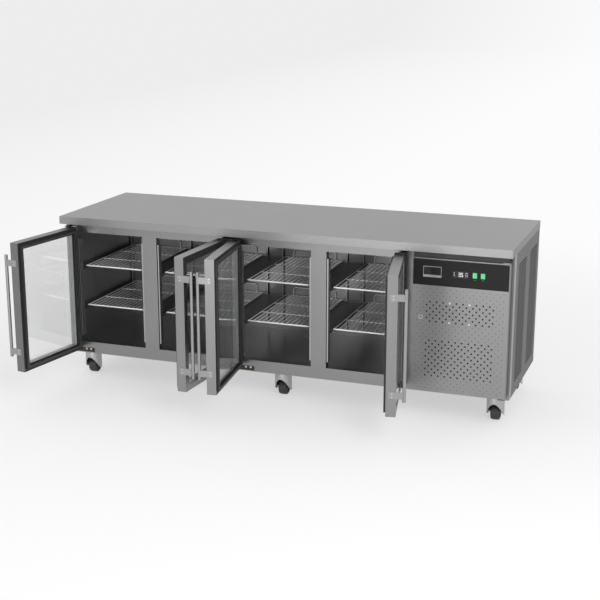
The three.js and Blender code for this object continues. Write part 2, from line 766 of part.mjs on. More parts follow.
// A rocker paddle whose ends follow a circle about its pivot, tipped to its lit position
function makeRockers(leaf) {
  const half = rockerHeight / 2;
  const sweep = Math.asin(rockerDepth / rockerHeight);
  const outline = new THREE.Shape();
  for (let step = 0; step <= rockerSteps; step += 1) {
    const angle = -sweep + 2 * sweep * step / rockerSteps;
    outline.lineTo(half * Math.cos(angle), half * Math.sin(angle));
  }
  for (let step = 0; step <= rockerSteps; step += 1) {
    const angle = Math.PI - sweep + 2 * sweep * step / rockerSteps;
    outline.lineTo(half * Math.cos(angle), half * Math.sin(angle));
  }
  rockerCentres().forEach((x, index) => {
    const geometry = new THREE.ExtrudeGeometry(outline, { depth: rockerWidth, bevelEnabled: false });
    geometry.translate(0, 0, -rockerWidth / 2);
    geometry.rotateY(-Math.PI / 2);
    geometry.rotateX(Math.PI);
    const pivot = new THREE.Group();
    pivot.position.set(x, doorFront, controlZ);
    pivot.rotation.x = THREE.MathUtils.degToRad(rockerTilt);
    leaf.add(pivot);
    addPart(`rocker_switch_${index + 1}`, solidOf(geometry), greenLens, pivot);
  });
}

// Key lock with a flange, a barrel and a cam that hangs behind the door until it is turned
function makeLock(leaf) {
  const pivot = new THREE.Group();
  pivot.position.set(serviceLeft + lockFromLeft, doorFront, lockZ);
  leaf.add(pivot);
  const camNear = camFront - doorFront;
  const flange = rod(lockRadius, pinSides, [0, -seat - lockFlange, 0], [0, -seat, 0]);
  const barrel = rod(lockBarrelRadius, pinSides, [0, -seat - weld, 0], [0, camNear + camSheet, 0]);
  const camX = [-camWidth / 2, camWidth / 2];
  const cam = block(camX, [camNear, camNear + camSheet], [-camLength, 0]);
  addPart('door_lock', joined([flange, barrel, cam]), zinc, pivot);
}

function makeServiceGroup() {
  const leaf = new THREE.Group();
  group.add(leaf);
  makeServiceDoor(leaf);
  makeFascia(leaf);
  makeController(leaf);
  makeRockers(leaf);
  makeLock(leaf);
}

// Right side panel, with louvres pressed inwards in columns
function makeSidePanel() {
  const panelX = [rightEnd - gauge, rightEnd];
  const front = frameBack + seat;
  const panel = block(panelX, [front, rearFace], [bodyBottom, bodyTop - seat]);
  const panelDepth = rearFace - front;
  const louvreLength = louvreLengthShare * panelDepth;
  const columnPitch = louvreLength + louvreGapShare * panelDepth;
  const louvreRows = Math.floor((bodyTop - bodyBottom - louvreRise - louvreHeight) / louvrePitch);
  const slots = [];
  const blades = [];
  for (let column = 0; column < louvreColumns; column += 1) {
    const y = front + louvreSetbackShare * panelDepth + column * columnPitch;
    for (let row = 0; row < louvreRows; row += 1) {
      const z = bodyBottom + louvreRise + row * louvrePitch;
      const slotX = [panelX[0] - overrun, panelX[1] + overrun];
      slots.push(block(slotX, [y, y + louvreLength], [z, z + louvreHeight]));
      blades.push(block([panelX[0] - bladeDepth, panelX[0] + gauge / 2],
        [y, y + louvreLength], [z + louvreHeight, z + louvreHeight + gauge]));
    }
  }
  addPart('right_side_panel', joined([cutFrom(panel, slots), ...blades]), steel);
}

// Castor: a round plated hood that swivels under its plate. Its mouth is cut at a slant at the
// front, its back is open for the wheel, and the cheeks between them carry the axle.
function makeCastors() {
  const top = bodyBottom - castorPlateSheet - seat;
  const axleY = castorTrail;
  const axleZ = wheelRadius * Math.cos(Math.PI / wheelSides);
  const hoodLow = axleZ - axleRadius - hoodWall;
  const mouthTop = top - hoodMouthDrop;
  const reach = hoodRadius + overrun;
  const shell = rod(hoodRadius, hoodSides, [0, 0, hoodLow], [0, 0, top]);
  const innerRadius = hoodRadius - hoodWall;
  const core = rod(innerRadius, hoodSides, [0, 0, hoodLow - overrun], [0, 0, top - hoodCrown]);
  const bore = rod(kingpinRadius + kingpinClearance, pinSides, [0, 0, hoodLow], [0, 0, top + overrun]);
  const mouth = new THREE.Shape();
  mouth.moveTo(-reach, hoodLow - overrun);
  mouth.lineTo(-reach, mouthTop);
  mouth.lineTo(-innerRadius, mouthTop);
  mouth.lineTo(axleY - axleRadius - hoodWall, hoodLow);
  mouth.lineTo(axleY - axleRadius - hoodWall, hoodLow - overrun);
  const mouthGeometry = new THREE.ExtrudeGeometry(mouth, { depth: 2 * reach, bevelEnabled: false });
  mouthGeometry.rotateX(Math.PI / 2);
  mouthGeometry.rotateZ(Math.PI / 2);
  mouthGeometry.translate(-reach, 0, 0);
  const windowHalf = wheelWidth / 2 + hoodClearance;
  const windowTop = axleZ + wheelRadius + hoodClearance;
  const rearWindow = block([-windowHalf, windowHalf], [0, reach], [hoodLow - overrun, windowTop]);
  const halfAxle = hoodRadius + axleHead;
  const axle = rod(axleRadius, axleSides, [-halfAxle, axleY, axleZ], [halfAxle, axleY, axleZ]);
  const hood = cutFrom(shell, [core, bore, solidOf(mouthGeometry), rearWindow]).add(axle);
  const half = wheelWidth / 2;
  const sleeve = axleRadius + axleClearance;
  const profile = [
    new THREE.Vector2(sleeve, -half),
    new THREE.Vector2(wheelRadius, -half),
    new THREE.Vector2(wheelRadius, half),
    new THREE.Vector2(sleeve, half),
    new THREE.Vector2(sleeve, -half),
  ];
  const wheelGeometry = new THREE.LatheGeometry(profile, wheelSides);
  wheelGeometry.rotateY(Math.PI / wheelSides);
  wheelGeometry.rotateZ(Math.PI / 2);
  castorPlaces().forEach(([x, y], index) => {
    const swivel = new THREE.Group();
    swivel.position.set(x, y, 0);
    group.add(swivel);
    addPart(`castor_${index + 1}_hood`, hood, zinc, swivel);
    const wheel = addPart(`castor_${index + 1}_wheel`, solidOf(wheelGeometry), tyreBlack, swivel);
    wheel.position.set(0, axleY, axleZ);
  });
}

// Compressor: a domed shell on a foot plate
function makeCompressor() {
  const x = (unitLeft + rightEnd) / 2;
  const y = frameFront + compressorSetback;
  const low = bodyBottom + gauge + seat;
  const halfSpan = compressorFootSpan / 2;
  const halfDepth = compressorFootDepth / 2;
  const footTop = low + compressorFootRise;
  const foot = block([x - halfSpan, x + halfSpan], [y - halfDepth, y + halfDepth],
    [footTop - compressorFootSheet, footTop]);
  const pads = [[-1, -1], [-1, 1], [1, -1], [1, 1]].map(([sideX, sideY]) => {
    const padX = x + sideX * (halfSpan - compressorFootRise);
    const padY = y + sideY * (halfDepth - compressorFootRise);
    return rod(compressorFootRise, axleSides, [padX, padY, low], [padX, padY, footTop]);
  });
  const bodyTopZ = footTop + compressorHeight;
  const profile = [
    new THREE.Vector2(0, footTop - weld),
    new THREE.Vector2(compressorRadius - compressorDome / 2, footTop - weld),
    new THREE.Vector2(compressorRadius, footTop + compressorDome / 2),
    new THREE.Vector2(compressorRadius, bodyTopZ - compressorDome),
    new THREE.Vector2(compressorRadius - compressorDome / 2, bodyTopZ - compressorDome / 4),
    new THREE.Vector2(0, bodyTopZ),
  ];
  const shell = new THREE.LatheGeometry(profile, compressorSides);
  shell.rotateX(Math.PI / 2);
  shell.translate(x, y, 0);
  addPart('compressor', joined([solidOf(shell), foot, ...pads]), blackPlastic);
}

// Condenser: a slotted coil block with its fan shroud and the motor on its arms
function makeCondenser() {
  const x = (unitLeft + rightEnd) / 2;
  const half = condenserWidth / 2;
  const low = bodyBottom + gauge + seat;
  const high = low + condenserHeight;
  const front = frameBack + condenserSetback;
  const back = front + condenserDepth;
  const coil = block([x - half, x + half], [front, back], [low, high]);
  const finPitch = condenserWidth / finCount;
  const slots = [];
  for (let fin = 0; fin < finCount; fin += 1) {
    const middle = x - half + finPitch * (fin + 1 / 2);
    const slotX = [middle - finSlotWidth / 2, middle + finSlotWidth / 2];
    slots.push(block(slotX, [front - overrun, front + finSlotDepth], [low + overrun, high - overrun]));
  }
  const centreZ = (low + high) / 2;
  const shroud = block([x - half, x + half], [back - weld, back + shroudDepth], [low, high]);
  const ringEnd = [x, back + shroudDepth + overrun, centreZ];
  const ring = rod(fanRingRadius, fanSides, [x, back, centreZ], ringEnd);
  const motorBack = back + motorLength / 2;
  const motorEnd = [x, motorBack - motorLength / 4, centreZ];
  const motor = rod(motorRadius, fanSides, [x, back - weld, centreZ], motorEnd);
  const shaftEnd = [x, back + shroudDepth - weld, centreZ];
  const shaft = rod(axleRadius, axleSides, [x, back, centreZ], shaftEnd);
  const body = joined([cutFrom(coil, slots), shroud.subtract(ring), motor, shaft]);
  addPart('condenser', body, darkSteel);
  makeFan(x, motorBack - motorLength / 4 + weld, centreZ);
}

function makeFan(x, front, z) {
  const hubEnd = [0, fanBladeDepth, 0];
  const hub = rod(fanHubRadius, fanSides, [0, 0, 0], hubEnd);
  const boreEnd = [0, fanBladeDepth + overrun, 0];
  const bore = rod(axleRadius + axleClearance, axleSides, [0, -overrun, 0], boreEnd);
  const blades = [];
  for (let blade = 0; blade < fanBladeCount; blade += 1) {
    const geometry = new THREE.BoxGeometry(fanHubRadius, fanBladeSheet, fanRadius - fanHubRadius / 2);
    geometry.rotateZ(Math.PI / 6);
    geometry.translate(0, fanBladeDepth / 2, (fanRadius + fanHubRadius / 2) / 2);
    geometry.rotateY(2 * Math.PI * blade / fanBladeCount);
    blades.push(solidOf(geometry));
  }
  const mesh = addPart('condenser_fan', cutFrom(joined([hub, ...blades]), [bore]), fanGrey);
  mesh.position.set(x, front, z);
}

makeWorktop();
makeCasing();
makeInsulation();
makeLiner();
makeFrontFrame();
makeLowerBrackets();
makeRacks();
makeShelves();
makeDoors();
makeServiceGroup();
makeSidePanel();
makeCastors();
makeCompressor();
makeCondenser();

// The origin is on the floor, under the middle of the outline
const outline = new THREE.Box3().setFromObject(group);
const centre = outline.getCenter(new THREE.Vector3());
group.position.set(-centre.x, -centre.y, -outline.min.z);

export default group;
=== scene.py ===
import json
import math

import bmesh
import bpy
from mathutils import Matrix, Vector


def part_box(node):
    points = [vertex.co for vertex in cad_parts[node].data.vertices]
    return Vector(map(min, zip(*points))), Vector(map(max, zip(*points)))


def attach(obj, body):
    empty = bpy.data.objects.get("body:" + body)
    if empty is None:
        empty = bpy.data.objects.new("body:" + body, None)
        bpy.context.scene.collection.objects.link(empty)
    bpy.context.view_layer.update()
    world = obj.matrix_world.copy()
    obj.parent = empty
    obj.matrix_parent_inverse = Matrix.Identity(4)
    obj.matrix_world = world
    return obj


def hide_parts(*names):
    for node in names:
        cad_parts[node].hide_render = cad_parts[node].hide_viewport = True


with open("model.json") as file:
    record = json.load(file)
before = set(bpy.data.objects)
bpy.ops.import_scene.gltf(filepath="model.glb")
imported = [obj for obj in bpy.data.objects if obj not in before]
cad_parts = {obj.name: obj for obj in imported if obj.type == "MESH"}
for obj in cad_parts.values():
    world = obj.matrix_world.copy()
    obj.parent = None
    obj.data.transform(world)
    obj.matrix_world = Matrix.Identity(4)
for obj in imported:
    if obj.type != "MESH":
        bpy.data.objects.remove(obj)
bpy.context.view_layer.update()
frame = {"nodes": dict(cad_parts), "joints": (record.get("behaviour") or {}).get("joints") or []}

# Worktop
# One sheet of stainless steel, folded down at its four edges and brushed along its length.
# It lies on the cabinet's frame; its right end fold faces away from the light and is painted darker as
# shade.
nodes = frame["nodes"]
grain_along = {"x": (1.5, 240, 240), "y": (240, 1.5, 240), "z": (240, 240, 1.5), "none": (60, 60, 60)}
grain_size, grain_detail, grain_depth = 3, 4, 0.0004
cloud_size, cloud_share = 2.5, 0.3
tone_limits = 0.3, 0.7
polish_swing = 0.05
fold_segments, fold_angle = 2, math.radians(40)


def grained(name, colour, rough, along, spread=0.07, metallic=1.0, relief=0.05):
    material = bpy.data.materials.new(name)
    material.use_nodes = True
    tree = material.node_tree
    shader = tree.nodes["Principled BSDF"]
    shader.inputs["Metallic"].default_value = metallic
    place = tree.nodes.new("ShaderNodeTexCoord")
    stretch = tree.nodes.new("ShaderNodeMapping")
    stretch.inputs["Scale"].default_value = grain_along[along]
    tree.links.new(place.outputs["Object"], stretch.inputs["Vector"])
    grain = tree.nodes.new("ShaderNodeTexNoise")
    grain.inputs["Scale"].default_value = grain_size
    grain.inputs["Detail"].default_value = grain_detail
    tree.links.new(stretch.outputs["Vector"], grain.inputs["Vector"])
    cloud = tree.nodes.new("ShaderNodeTexNoise")
    cloud.inputs["Scale"].default_value = cloud_size
    tree.links.new(place.outputs["Object"], cloud.inputs["Vector"])
    both = tree.nodes.new("ShaderNodeMix")
    both.data_type = "FLOAT"
    both.inputs["Factor"].default_value = cloud_share
    tree.links.new(grain.outputs["Fac"], both.inputs["A"])
    tree.links.new(cloud.outputs["Fac"], both.inputs["B"])
    tone = tree.nodes.new("ShaderNodeValToRGB")
    ends = tone.color_ramp.elements
    ends[0].position, ends[1].position = tone_limits
    ends[0].color = (*(c * (1 - spread) for c in colour), 1)
    ends[1].color = (*(min(1, c * (1 + spread)) for c in colour), 1)
    tree.links.new(both.outputs["Result"], tone.inputs["Fac"])
    tree.links.new(tone.outputs["Color"], shader.inputs["Base Color"])
    polish = tree.nodes.new("ShaderNodeMapRange")
    polish.inputs["To Min"].default_value = max(0, rough - polish_swing)
    polish.inputs["To Max"].default_value = rough + polish_swing
    tree.links.new(grain.outputs["Fac"], polish.inputs["Value"])
    tree.links.new(polish.outputs["Result"], shader.inputs["Roughness"])
    bump = tree.nodes.new("ShaderNodeBump")
    bump.inputs["Strength"].default_value = relief
    bump.inputs["Distance"].default_value = grain_depth
    tree.links.new(grain.outputs["Fac"], bump.inputs["Height"])
    tree.links.new(bump.outputs["Normal"], shader.inputs["Normal"])
    return material


def soften(target, radius):
    rounding = target.modifiers.new("edges", "BEVEL")
    rounding.width = radius
    rounding.segments = fold_segments
    rounding.limit_method = "ANGLE"
    rounding.angle_limit = fold_angle


def dress(node, material, radius=0.0):
    nodes[node].data.materials.clear()
    nodes[node].data.materials.append(material)
    if radius:
        soften(nodes[node], radius)


worktop_fold = 0.0015
worktop_steel = grained("worktop_steel", (0.33, 0.33, 0.33), 0.36, "x", 0.05)
# Painted shade: faces that point to the right get a darker base colour.
end_shade_tone, end_shade_from = 0.45, 0.5
tree = worktop_steel.node_tree
shader = tree.nodes["Principled BSDF"]
facing = tree.nodes.new("ShaderNodeTexCoord")
sideways = tree.nodes.new("ShaderNodeSeparateXYZ")
tree.links.new(facing.outputs["Normal"], sideways.inputs[0])
end_shade = tree.nodes.new("ShaderNodeMapRange")
end_shade.inputs["From Min"].default_value = end_shade_from
end_shade.inputs["To Min"].default_value = 1
end_shade.inputs["To Max"].default_value = end_shade_tone
tree.links.new(sideways.outputs["X"], end_shade.inputs["Value"])
toned = tree.nodes.new("ShaderNodeVectorMath")
toned.operation = "SCALE"
tree.links.new(shader.inputs["Base Color"].links[0].from_socket, toned.inputs[0])
tree.links.new(end_shade.outputs["Result"], toned.inputs["Scale"])
tree.links.new(toned.outputs["Vector"], shader.inputs["Base Color"])
dress("worktop", worktop_steel, worktop_fold)

# Front frame
# Stainless channels welded into a header, a bottom rail, stiles and mullions.
# The faces are brushed along the stiles, and the welds are ground flush.
frame_fold = 0.0007
frame_steel = grained("frame_steel", (0.285, 0.285, 0.285), 0.34, "z", 0.06)
dress("front_frame", frame_steel, frame_fold)

# Outer casing and insulation
# The casing is a folded skin of thinner stainless sheet, screwed round the foamed body.
# The foam between the skins is cast in place and doesn't show.
dress("outer_casing", grained("casing_steel", (0.26, 0.26, 0.26), 0.42, "z"))
dress("insulation", grained("foam", (0.75, 0.68, 0.5), 0.9, "none", 0.1, 0.0))

# Inner liner
# A folded box of satin stainless sheet with welded corners, open at the front.
# It mostly sees itself, so it looks much darker than the outside.
dress("inner_liner", grained("liner_steel", (0.32, 0.32, 0.325), 0.29, "z", 0.05, 0.9))

# Shelf racks
# Slotted uprights of folded sheet beside each mullion and at the back, hooked on the liner,
# with angle runners that carry the shelves and a crossbar between the rear uprights.
# Painted light and shade: one rack steel, lighter for flanges and crossbars, darker for slotted sides and
# runners.
lit_rack_steel = grained("lit_rack_steel", (0.42, 0.42, 0.42), 0.36, "z")
shaded_slotted_steel = grained("shaded_slotted_steel", (0.16, 0.16, 0.16), 0.5, "z", 0.05, 0.4)
shaded_runner_steel = grained("shaded_runner_steel", (0.11, 0.11, 0.112), 0.42, "y", 0.4, 0.7)
# Painted shade: a near-black sheet fills the hollows inside the uprights and the lock's key slot.
recess_painted_shade = grained("recess_painted_shade", (0.01, 0.01, 0.01), 0.8, "none", 0.2, 0.0)
rack_sheet = 0.0012
mullion_gap = 0.0018
upright_width = 0.0097
front_upright_depth = 0.025
rear_upright_depth = 0.012
slot_pitch = 0.025
slot_width, slot_height = 0.006, 0.013
runner_leg = 0.016
runner_sheet = 0.002
crossbar_depth, crossbar_height = 0.006, 0.012
seat_gap = 0.0003
wire_depth = 0.006


def slab(mesh, low, high, place=Matrix()):
    middle = Matrix.Translation([(a + b) / 2 for a, b in zip(low, high)])
    stretch = Matrix.Diagonal([b - a for a, b in zip(low, high)] + [1])
    bmesh.ops.create_cube(mesh, size=1, matrix=place @ middle @ stretch)


def add_piece(name, shape, material, body, radius=0.0, smooth_angle=0.0):
    if isinstance(shape, bmesh.types.BMesh):
        bmesh.ops.recalc_face_normals(shape, faces=shape.faces)
        data = bpy.data.meshes.new(name)
        shape.to_mesh(data)
        shape.free()
    else:
        data = shape
    data.materials.clear()
    data.materials.append(material)
    piece = bpy.data.objects.new(name, data)
    bpy.context.scene.collection.objects.link(piece)
    if smooth_angle:
        for face in data.polygons:
            face.use_smooth = True
        data.set_sharp_from_angle(angle=math.radians(smooth_angle))
    if radius:
        soften(piece, radius)
    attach(piece, body)
    return piece


def punched_sheet(outline, holes, thickness):
    curve = bpy.data.curves.new("punched", "CURVE")
    curve.dimensions = "2D"
    curve.fill_mode = "BOTH"
    curve.extrude = thickness / 2
    for loop in [outline, *holes]:
        spline = curve.splines.new("POLY")
        spline.points.add(len(loop) - 1)
        spline.use_cyclic_u = True
        for point, (u, v) in zip(spline.points, loop):
            point.co = (u, v, 0, 1)
    holder = bpy.data.objects.new("punched", curve)
    data = bpy.data.meshes.new_from_object(holder)
    bpy.data.objects.remove(holder)
    bpy.data.curves.remove(curve)
    return data


def rectangle(u0, u1, v0, v1):
    return [(u0, v0), (u1, v0), (u1, v1), (u0, v1)]


def facing_x(x):
    return Matrix(((0, 0, 1, x), (1, 0, 0, 0), (0, 1, 0, 0), (0, 0, 0, 1)))


left_rack_low, left_rack_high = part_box("shelf_rack_left")
rack_reach = left_rack_high.x - left_rack_low.x
shelf_tops = [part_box(f"shelf_1_{row}")[0].z + wire_depth for row in ("lower", "upper")]


def add_rack_side(parts, face, side, low, high):
    far = face + side * upright_width
    rear_start = high.y - rear_upright_depth
    for y0, y1 in ((low.y, low.y + front_upright_depth), (rear_start, high.y)):
        slab(parts["uprights"], (face + side * mullion_gap, y0, low.z), (far, y0 + rack_sheet, high.z))
        slab(parts["uprights"], (face, y1 - rack_sheet, low.z), (far, y1, high.z))
        inner = (face + side * rack_sheet, y1 - rack_sheet, high.z)
        slab(parts["recess"], (face, y0 + rack_sheet, low.z), inner)
        middle = (y0 + y1) / 2
        y_limits = middle - slot_width / 2, middle + slot_width / 2
        holes = []
        for slot in range(int((high.z - low.z) / slot_pitch)):
            z = low.z + slot_pitch * (slot + 0.5)
            holes.append(rectangle(*y_limits, z - slot_height / 2, z + slot_height / 2))
        sheet = punched_sheet(rectangle(y0, y1, low.z, high.z), holes, rack_sheet)
        sheet.transform(facing_x(far - side * rack_sheet / 2))
        parts["slotted"].from_mesh(sheet)
        bpy.data.meshes.remove(sheet)
    for top in shelf_tops:
        seat = top - wire_depth - seat_gap
        y0 = low.y + front_upright_depth
        web_end = (far - side * runner_sheet, rear_start, seat)
        slab(parts["runners"], (far, y0, seat - runner_leg), web_end)
        flange_end = face + side * rack_reach
        slab(parts["runners"], (far, y0, seat - runner_sheet), (flange_end, rear_start, seat))


rack_materials = {
    "uprights": lit_rack_steel,
    "slotted": shaded_slotted_steel,
    "runners": shaded_runner_steel,
    "recess": recess_painted_shade,
}
for rack in ("left", "1", "2", "3", "right"):
    low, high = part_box(f"shelf_rack_{rack}")
    sides = []
    if rack != "left":
        sides.append((high.x if rack == "right" else low.x + rack_reach, -1))
    if rack != "right":
        sides.append((low.x if rack == "left" else high.x - rack_reach, 1))
    parts = {part: bmesh.new() for part in rack_materials}
    for face, side in sides:
        add_rack_side(parts, face, side, low, high)
    if len(sides) == 2:
        for top in shelf_tops:
            y = high.y - rear_upright_depth
            high_z = top - wire_depth
            start = (sides[0][0] - upright_width, y - crossbar_depth, high_z - crossbar_height)
            slab(parts["uprights"], start, (sides[1][0] + upright_width, y, high_z))
            seat = top - wire_depth - seat_gap
            bridge = (sides[0][0] - upright_width, low.y + front_upright_depth, seat - runner_sheet)
            slab(parts["runners"], bridge, (sides[1][0] + upright_width, y - crossbar_depth, seat))
    for part, part_material in rack_materials.items():
        piece = add_piece(f"rack_{rack}_{part}", parts[part], part_material, "cabinet")
        if part == "uprights":
            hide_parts(f"shelf_rack_{rack}")

# Wire shelves
# Bright plated steel wire, resistance welded: a thick front wire, cross wires below, thinner
# long wires over them, and a round-cornered hoop that stands on the back wire.
# The wire's near-white colour, with little metal in it, paints in the sheen of its bright plating.
sheen_painted_wire = grained("sheen_painted_wire", (0.95, 0.95, 0.94), 0.25, "none", 0.05, 0.12)
front_wire = 0.0039
cross_wire = 0.0022
long_wire = 0.0018
long_wire_count = 14
cross_wire_shares = (1 / 3, 2 / 3, 1)
hoop_inset = 0.042
hoop_corner = 0.014
corner_steps = 6


def tubes(runs, roundness=3):
    curve = bpy.data.curves.new("tubes", "CURVE")
    curve.dimensions = "3D"
    curve.bevel_depth = 0.001
    curve.bevel_resolution = roundness
    curve.use_fill_caps = True
    for points, radius in runs:
        spline = curve.splines.new("POLY")
        spline.points.add(len(points) - 1)
        for knot, point in zip(spline.points, points):
            knot.co = (*point, 1)
            knot.radius = radius / curve.bevel_depth
    holder = bpy.data.objects.new("tubes", curve)
    data = bpy.data.meshes.new_from_object(holder)
    bpy.data.objects.remove(holder)
    bpy.data.curves.remove(curve)
    return data


def hoop_bend(x, y, z, start):
    angles = [start - step * math.pi / 2 / corner_steps for step in range(corner_steps + 1)]
    return [(x + hoop_corner * math.cos(a), y, z + hoop_corner * math.sin(a)) for a in angles]


for bay in (1, 2, 3, 4):
    for row, top in zip(("lower", "upper"), shelf_tops):
        low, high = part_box(f"shelf_{bay}_{row}")
        front, back = low.y + front_wire, high.y - wire_depth / 2
        front_z, cross_z = low.z + front_wire, low.z + cross_wire
        runs = [([(low.x, front, front_z), (high.x, front, front_z)], front_wire)]
        for share in cross_wire_shares:
            y = front + share * (back - front)
            runs.append(([(low.x, y, cross_z), (high.x, y, cross_z)], cross_wire))
        wire_step = (high.x - low.x - 2 * cross_wire) / (long_wire_count - 1)
        for wire in range(long_wire_count):
            radius = cross_wire if wire in (0, long_wire_count - 1) else long_wire
            x = low.x + cross_wire + wire * wire_step
            runs.append(([(x, front, top - radius), (x, back, top - radius)], radius))
        left, right = low.x + hoop_inset, high.x - hoop_inset
        corner_z = high.z - cross_wire - hoop_corner
        hoop = [(left, back, cross_z)]
        hoop += hoop_bend(left + hoop_corner, back, corner_z, math.pi)
        hoop += hoop_bend(right - hoop_corner, back, corner_z, math.pi / 2)
        hoop.append((right, back, cross_z))
        runs.append((hoop, cross_wire))
        name = f"wire_shelf_{bay}_{row}"
        shelf = add_piece(name, tubes(runs), sheen_painted_wire, "cabinet", smooth_angle=50)
        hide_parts(f"shelf_{bay}_{row}")

# Glass doors
# Each leaf is a folded stainless edge frame round a sealed triple glazing unit with aluminium
# spacer bars. A dark inner frame clips over the unit's back and holds the magnetic gasket.
door_steel = grained("door_steel", (0.295, 0.295, 0.295), 0.34, "z", 0.05)
# Painted shade: door 1's frame gets this darker copy of the door steel.
shaded_door_steel = grained("shaded_door_steel", (0.21, 0.21, 0.21), 0.34, "z", 0.05)
gasket_black = grained("gasket_black", (0.02, 0.02, 0.021), 0.5, "none", 0.2, 0.0)
gasket_grey = grained("gasket_grey", (0.075, 0.075, 0.078), 0.5, "none", 0.15, 0.0)
spacer_metal = grained("spacer_metal", (0.8, 0.81, 0.83), 0.35, "none", 0.05, 0.15)
pane_glass = bpy.data.materials.new("pane_glass")
pane_glass.use_nodes = True
pane_tree = pane_glass.node_tree
pane_shader = pane_tree.nodes["Principled BSDF"]
pane_shader.inputs["Transmission Weight"].default_value = 1
pane_shader.inputs["IOR"].default_value = 1.5
pane_shader.inputs["Roughness"].default_value = 0
pane_place = pane_tree.nodes.new("ShaderNodeTexCoord")
pane_cloud = pane_tree.nodes.new("ShaderNodeTexNoise")
pane_cloud.inputs["Scale"].default_value = 1.5
pane_tree.links.new(pane_place.outputs["Object"], pane_cloud.inputs["Vector"])
pane_tint = pane_tree.nodes.new("ShaderNodeValToRGB")
pane_tint.color_ramp.elements[0].color = (0.996, 0.998, 0.998, 1)
pane_tint.color_ramp.elements[1].color = (1, 1, 1, 1)
pane_tree.links.new(pane_cloud.outputs["Fac"], pane_tint.inputs["Fac"])
pane_tree.links.new(pane_tint.outputs["Color"], pane_shader.inputs["Base Color"])
door_fold = 0.0008
pane_thickness = 0.004
spacer_width = 0.011
skim = 0.0002
gasket_line_inset, gasket_line_width = 0.019, 0.0035
joints = {joint["name"]: joint for joint in frame["joints"]}


def draw_out(mesh, faces, step):
    grown = bmesh.ops.extrude_face_region(mesh, geom=faces, use_keep_orig=True)["geom"]
    tips = [knot for knot in grown if isinstance(knot, bmesh.types.BMVert)]
    bmesh.ops.translate(mesh, verts=tips, vec=step)
    return tips


def ring(mesh, limits, width, near, far, place=Matrix()):
    field = mesh.faces.new([mesh.verts.new((x, near, z)) for x, z in rectangle(*limits)])
    field.normal_update()
    inset = {"thickness": width, "use_boundary": True, "use_even_offset": True}
    rim = bmesh.ops.inset_region(mesh, faces=[field], **inset)
    bmesh.ops.delete(mesh, geom=[field], context="FACES_ONLY")
    knots = list({knot for face in rim["faces"] for knot in face.verts})
    knots += draw_out(mesh, rim["faces"], (0, far - near, 0))
    bmesh.ops.transform(mesh, matrix=place, verts=knots)


def inset_by(limits, amount):
    return limits[0] + amount, limits[1] - amount, limits[2] + amount, limits[3] - amount


class Leaf:
    def __init__(self, door):
        joint = joints[f"door_{door}_hinge"]
        self.side = -joint["axis"][2]
        self.pin = Vector(joint["pos_m"])
        turn = Matrix.Rotation(self.side * math.radians(joint["range_deg"][0]), 4, "Z")
        pin_line = Matrix.Translation((self.pin.x, self.pin.y, 0))
        self.place = pin_line @ turn @ Matrix.Diagonal((self.side, 1, 1, 1))
        x0, x1, y0, y1 = self.limits(f"door_{door}_frame")
        self.place = self.place @ Matrix.Translation((x0, y0, 0))
        self.width = x1 - x0
        low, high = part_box(f"door_{door}_frame")
        self.low, self.high = low.z, high.z

    def limits(self, node):
        back = self.place.inverted()
        points = [back @ corner.co for corner in nodes[node].data.vertices]
        xs, ys = [point.x for point in points], [point.y for point in points]
        return min(xs), max(xs), min(ys), max(ys)


leaves = {door: Leaf(door) for door in (1, 2, 3, 4)}
for door, leaf in leaves.items():
    body = f"door_{door}"
    dress(f"door_{door}_frame", shaded_door_steel if door == 1 else door_steel, door_fold)
    dress(f"door_{door}_gasket", gasket_black, door_fold)
    x0, x1, y0, y1 = leaf.limits(f"door_{door}_glass")
    edge = (x0, x1, leaf.low + x0, leaf.high - x0)
    pane_starts = [y0, (y0 + y1 - pane_thickness) / 2, y1 - pane_thickness]
    panes = bmesh.new()
    for y in pane_starts:
        slab(panes, (x0, y, edge[2]), (x1, y + pane_thickness, edge[3]), leaf.place)
    unit = add_piece(f"door_{door}_panes", panes, pane_glass, body)
    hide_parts(f"door_{door}_glass")
    bars = bmesh.new()
    for near, far in zip(pane_starts, pane_starts[1:]):
        ring(bars, edge, spacer_width, near + pane_thickness + skim, far - skim, leaf.place)
    add_piece(f"door_{door}_spacers", bars, spacer_metal, body)
    crown = leaf.limits(f"door_{door}_gasket")[3]
    whole = (0, leaf.width, leaf.low, leaf.high)
    line = bmesh.new()
    ring(line, inset_by(whole, gasket_line_inset), gasket_line_width, crown, crown + skim, leaf.place)
    add_piece(f"door_{door}_gasket_line", line, gasket_grey, body)

# Door handles
# A round brushed bar on two flat plates, welded together, and screwed to the free edge of the
# leaf with two small countersunk screws in each plate.
handle_steel = grained("handle_steel", (0.36, 0.36, 0.36), 0.3, "z", 0.04)
screw_bright = grained("screw_bright", (0.62, 0.61, 0.59), 0.34, "none", 0.06)
bar_radius = 0.0079
bar_round = 0.001
plate_sheet = 0.0015
plate_weld = 0.001
plate_height = 0.031
upper_plate_end, lower_plate_end = 0.02, 0.015
handle_drop = 0.005
plate_start = 0.55
plate_fold = 0.0004
handle_screw = 0.0033
screw_rises = 0.008, 0.023
screw_depth = 0.018


def spun(mesh, outline, centre, axis, steps, closed=False):
    knots = [mesh.verts.new(point) for point in outline]
    after = knots[1:] + knots[:1] if closed else knots[1:]
    edges = [mesh.edges.new(pair) for pair in zip(knots, after)]
    turn = {"cent": centre, "axis": axis, "angle": math.tau, "steps": steps, "use_merge": True}
    bmesh.ops.spin(mesh, geom=knots + edges, **turn)


def turned(mesh, start, end, profile, sides=28):
    axis = (end - start).normalized()
    across = axis.orthogonal().normalized()
    spun(mesh, [start + axis * along + across * radius for along, radius in profile], start, axis, sides)
    bmesh.ops.holes_fill(mesh, edges=[edge for edge in mesh.edges if edge.is_boundary], sides=0)


def screw_head(mesh, seat, outward, radius, height):
    outward = outward.normalized()
    crown = (0, 1), (0.5, 0.95), (0.85, 0.7), (1, 0.35)
    profile = [(height * along, radius * wide) for along, wide in crown]
    turned(mesh, seat, seat + outward * height, profile, 16)


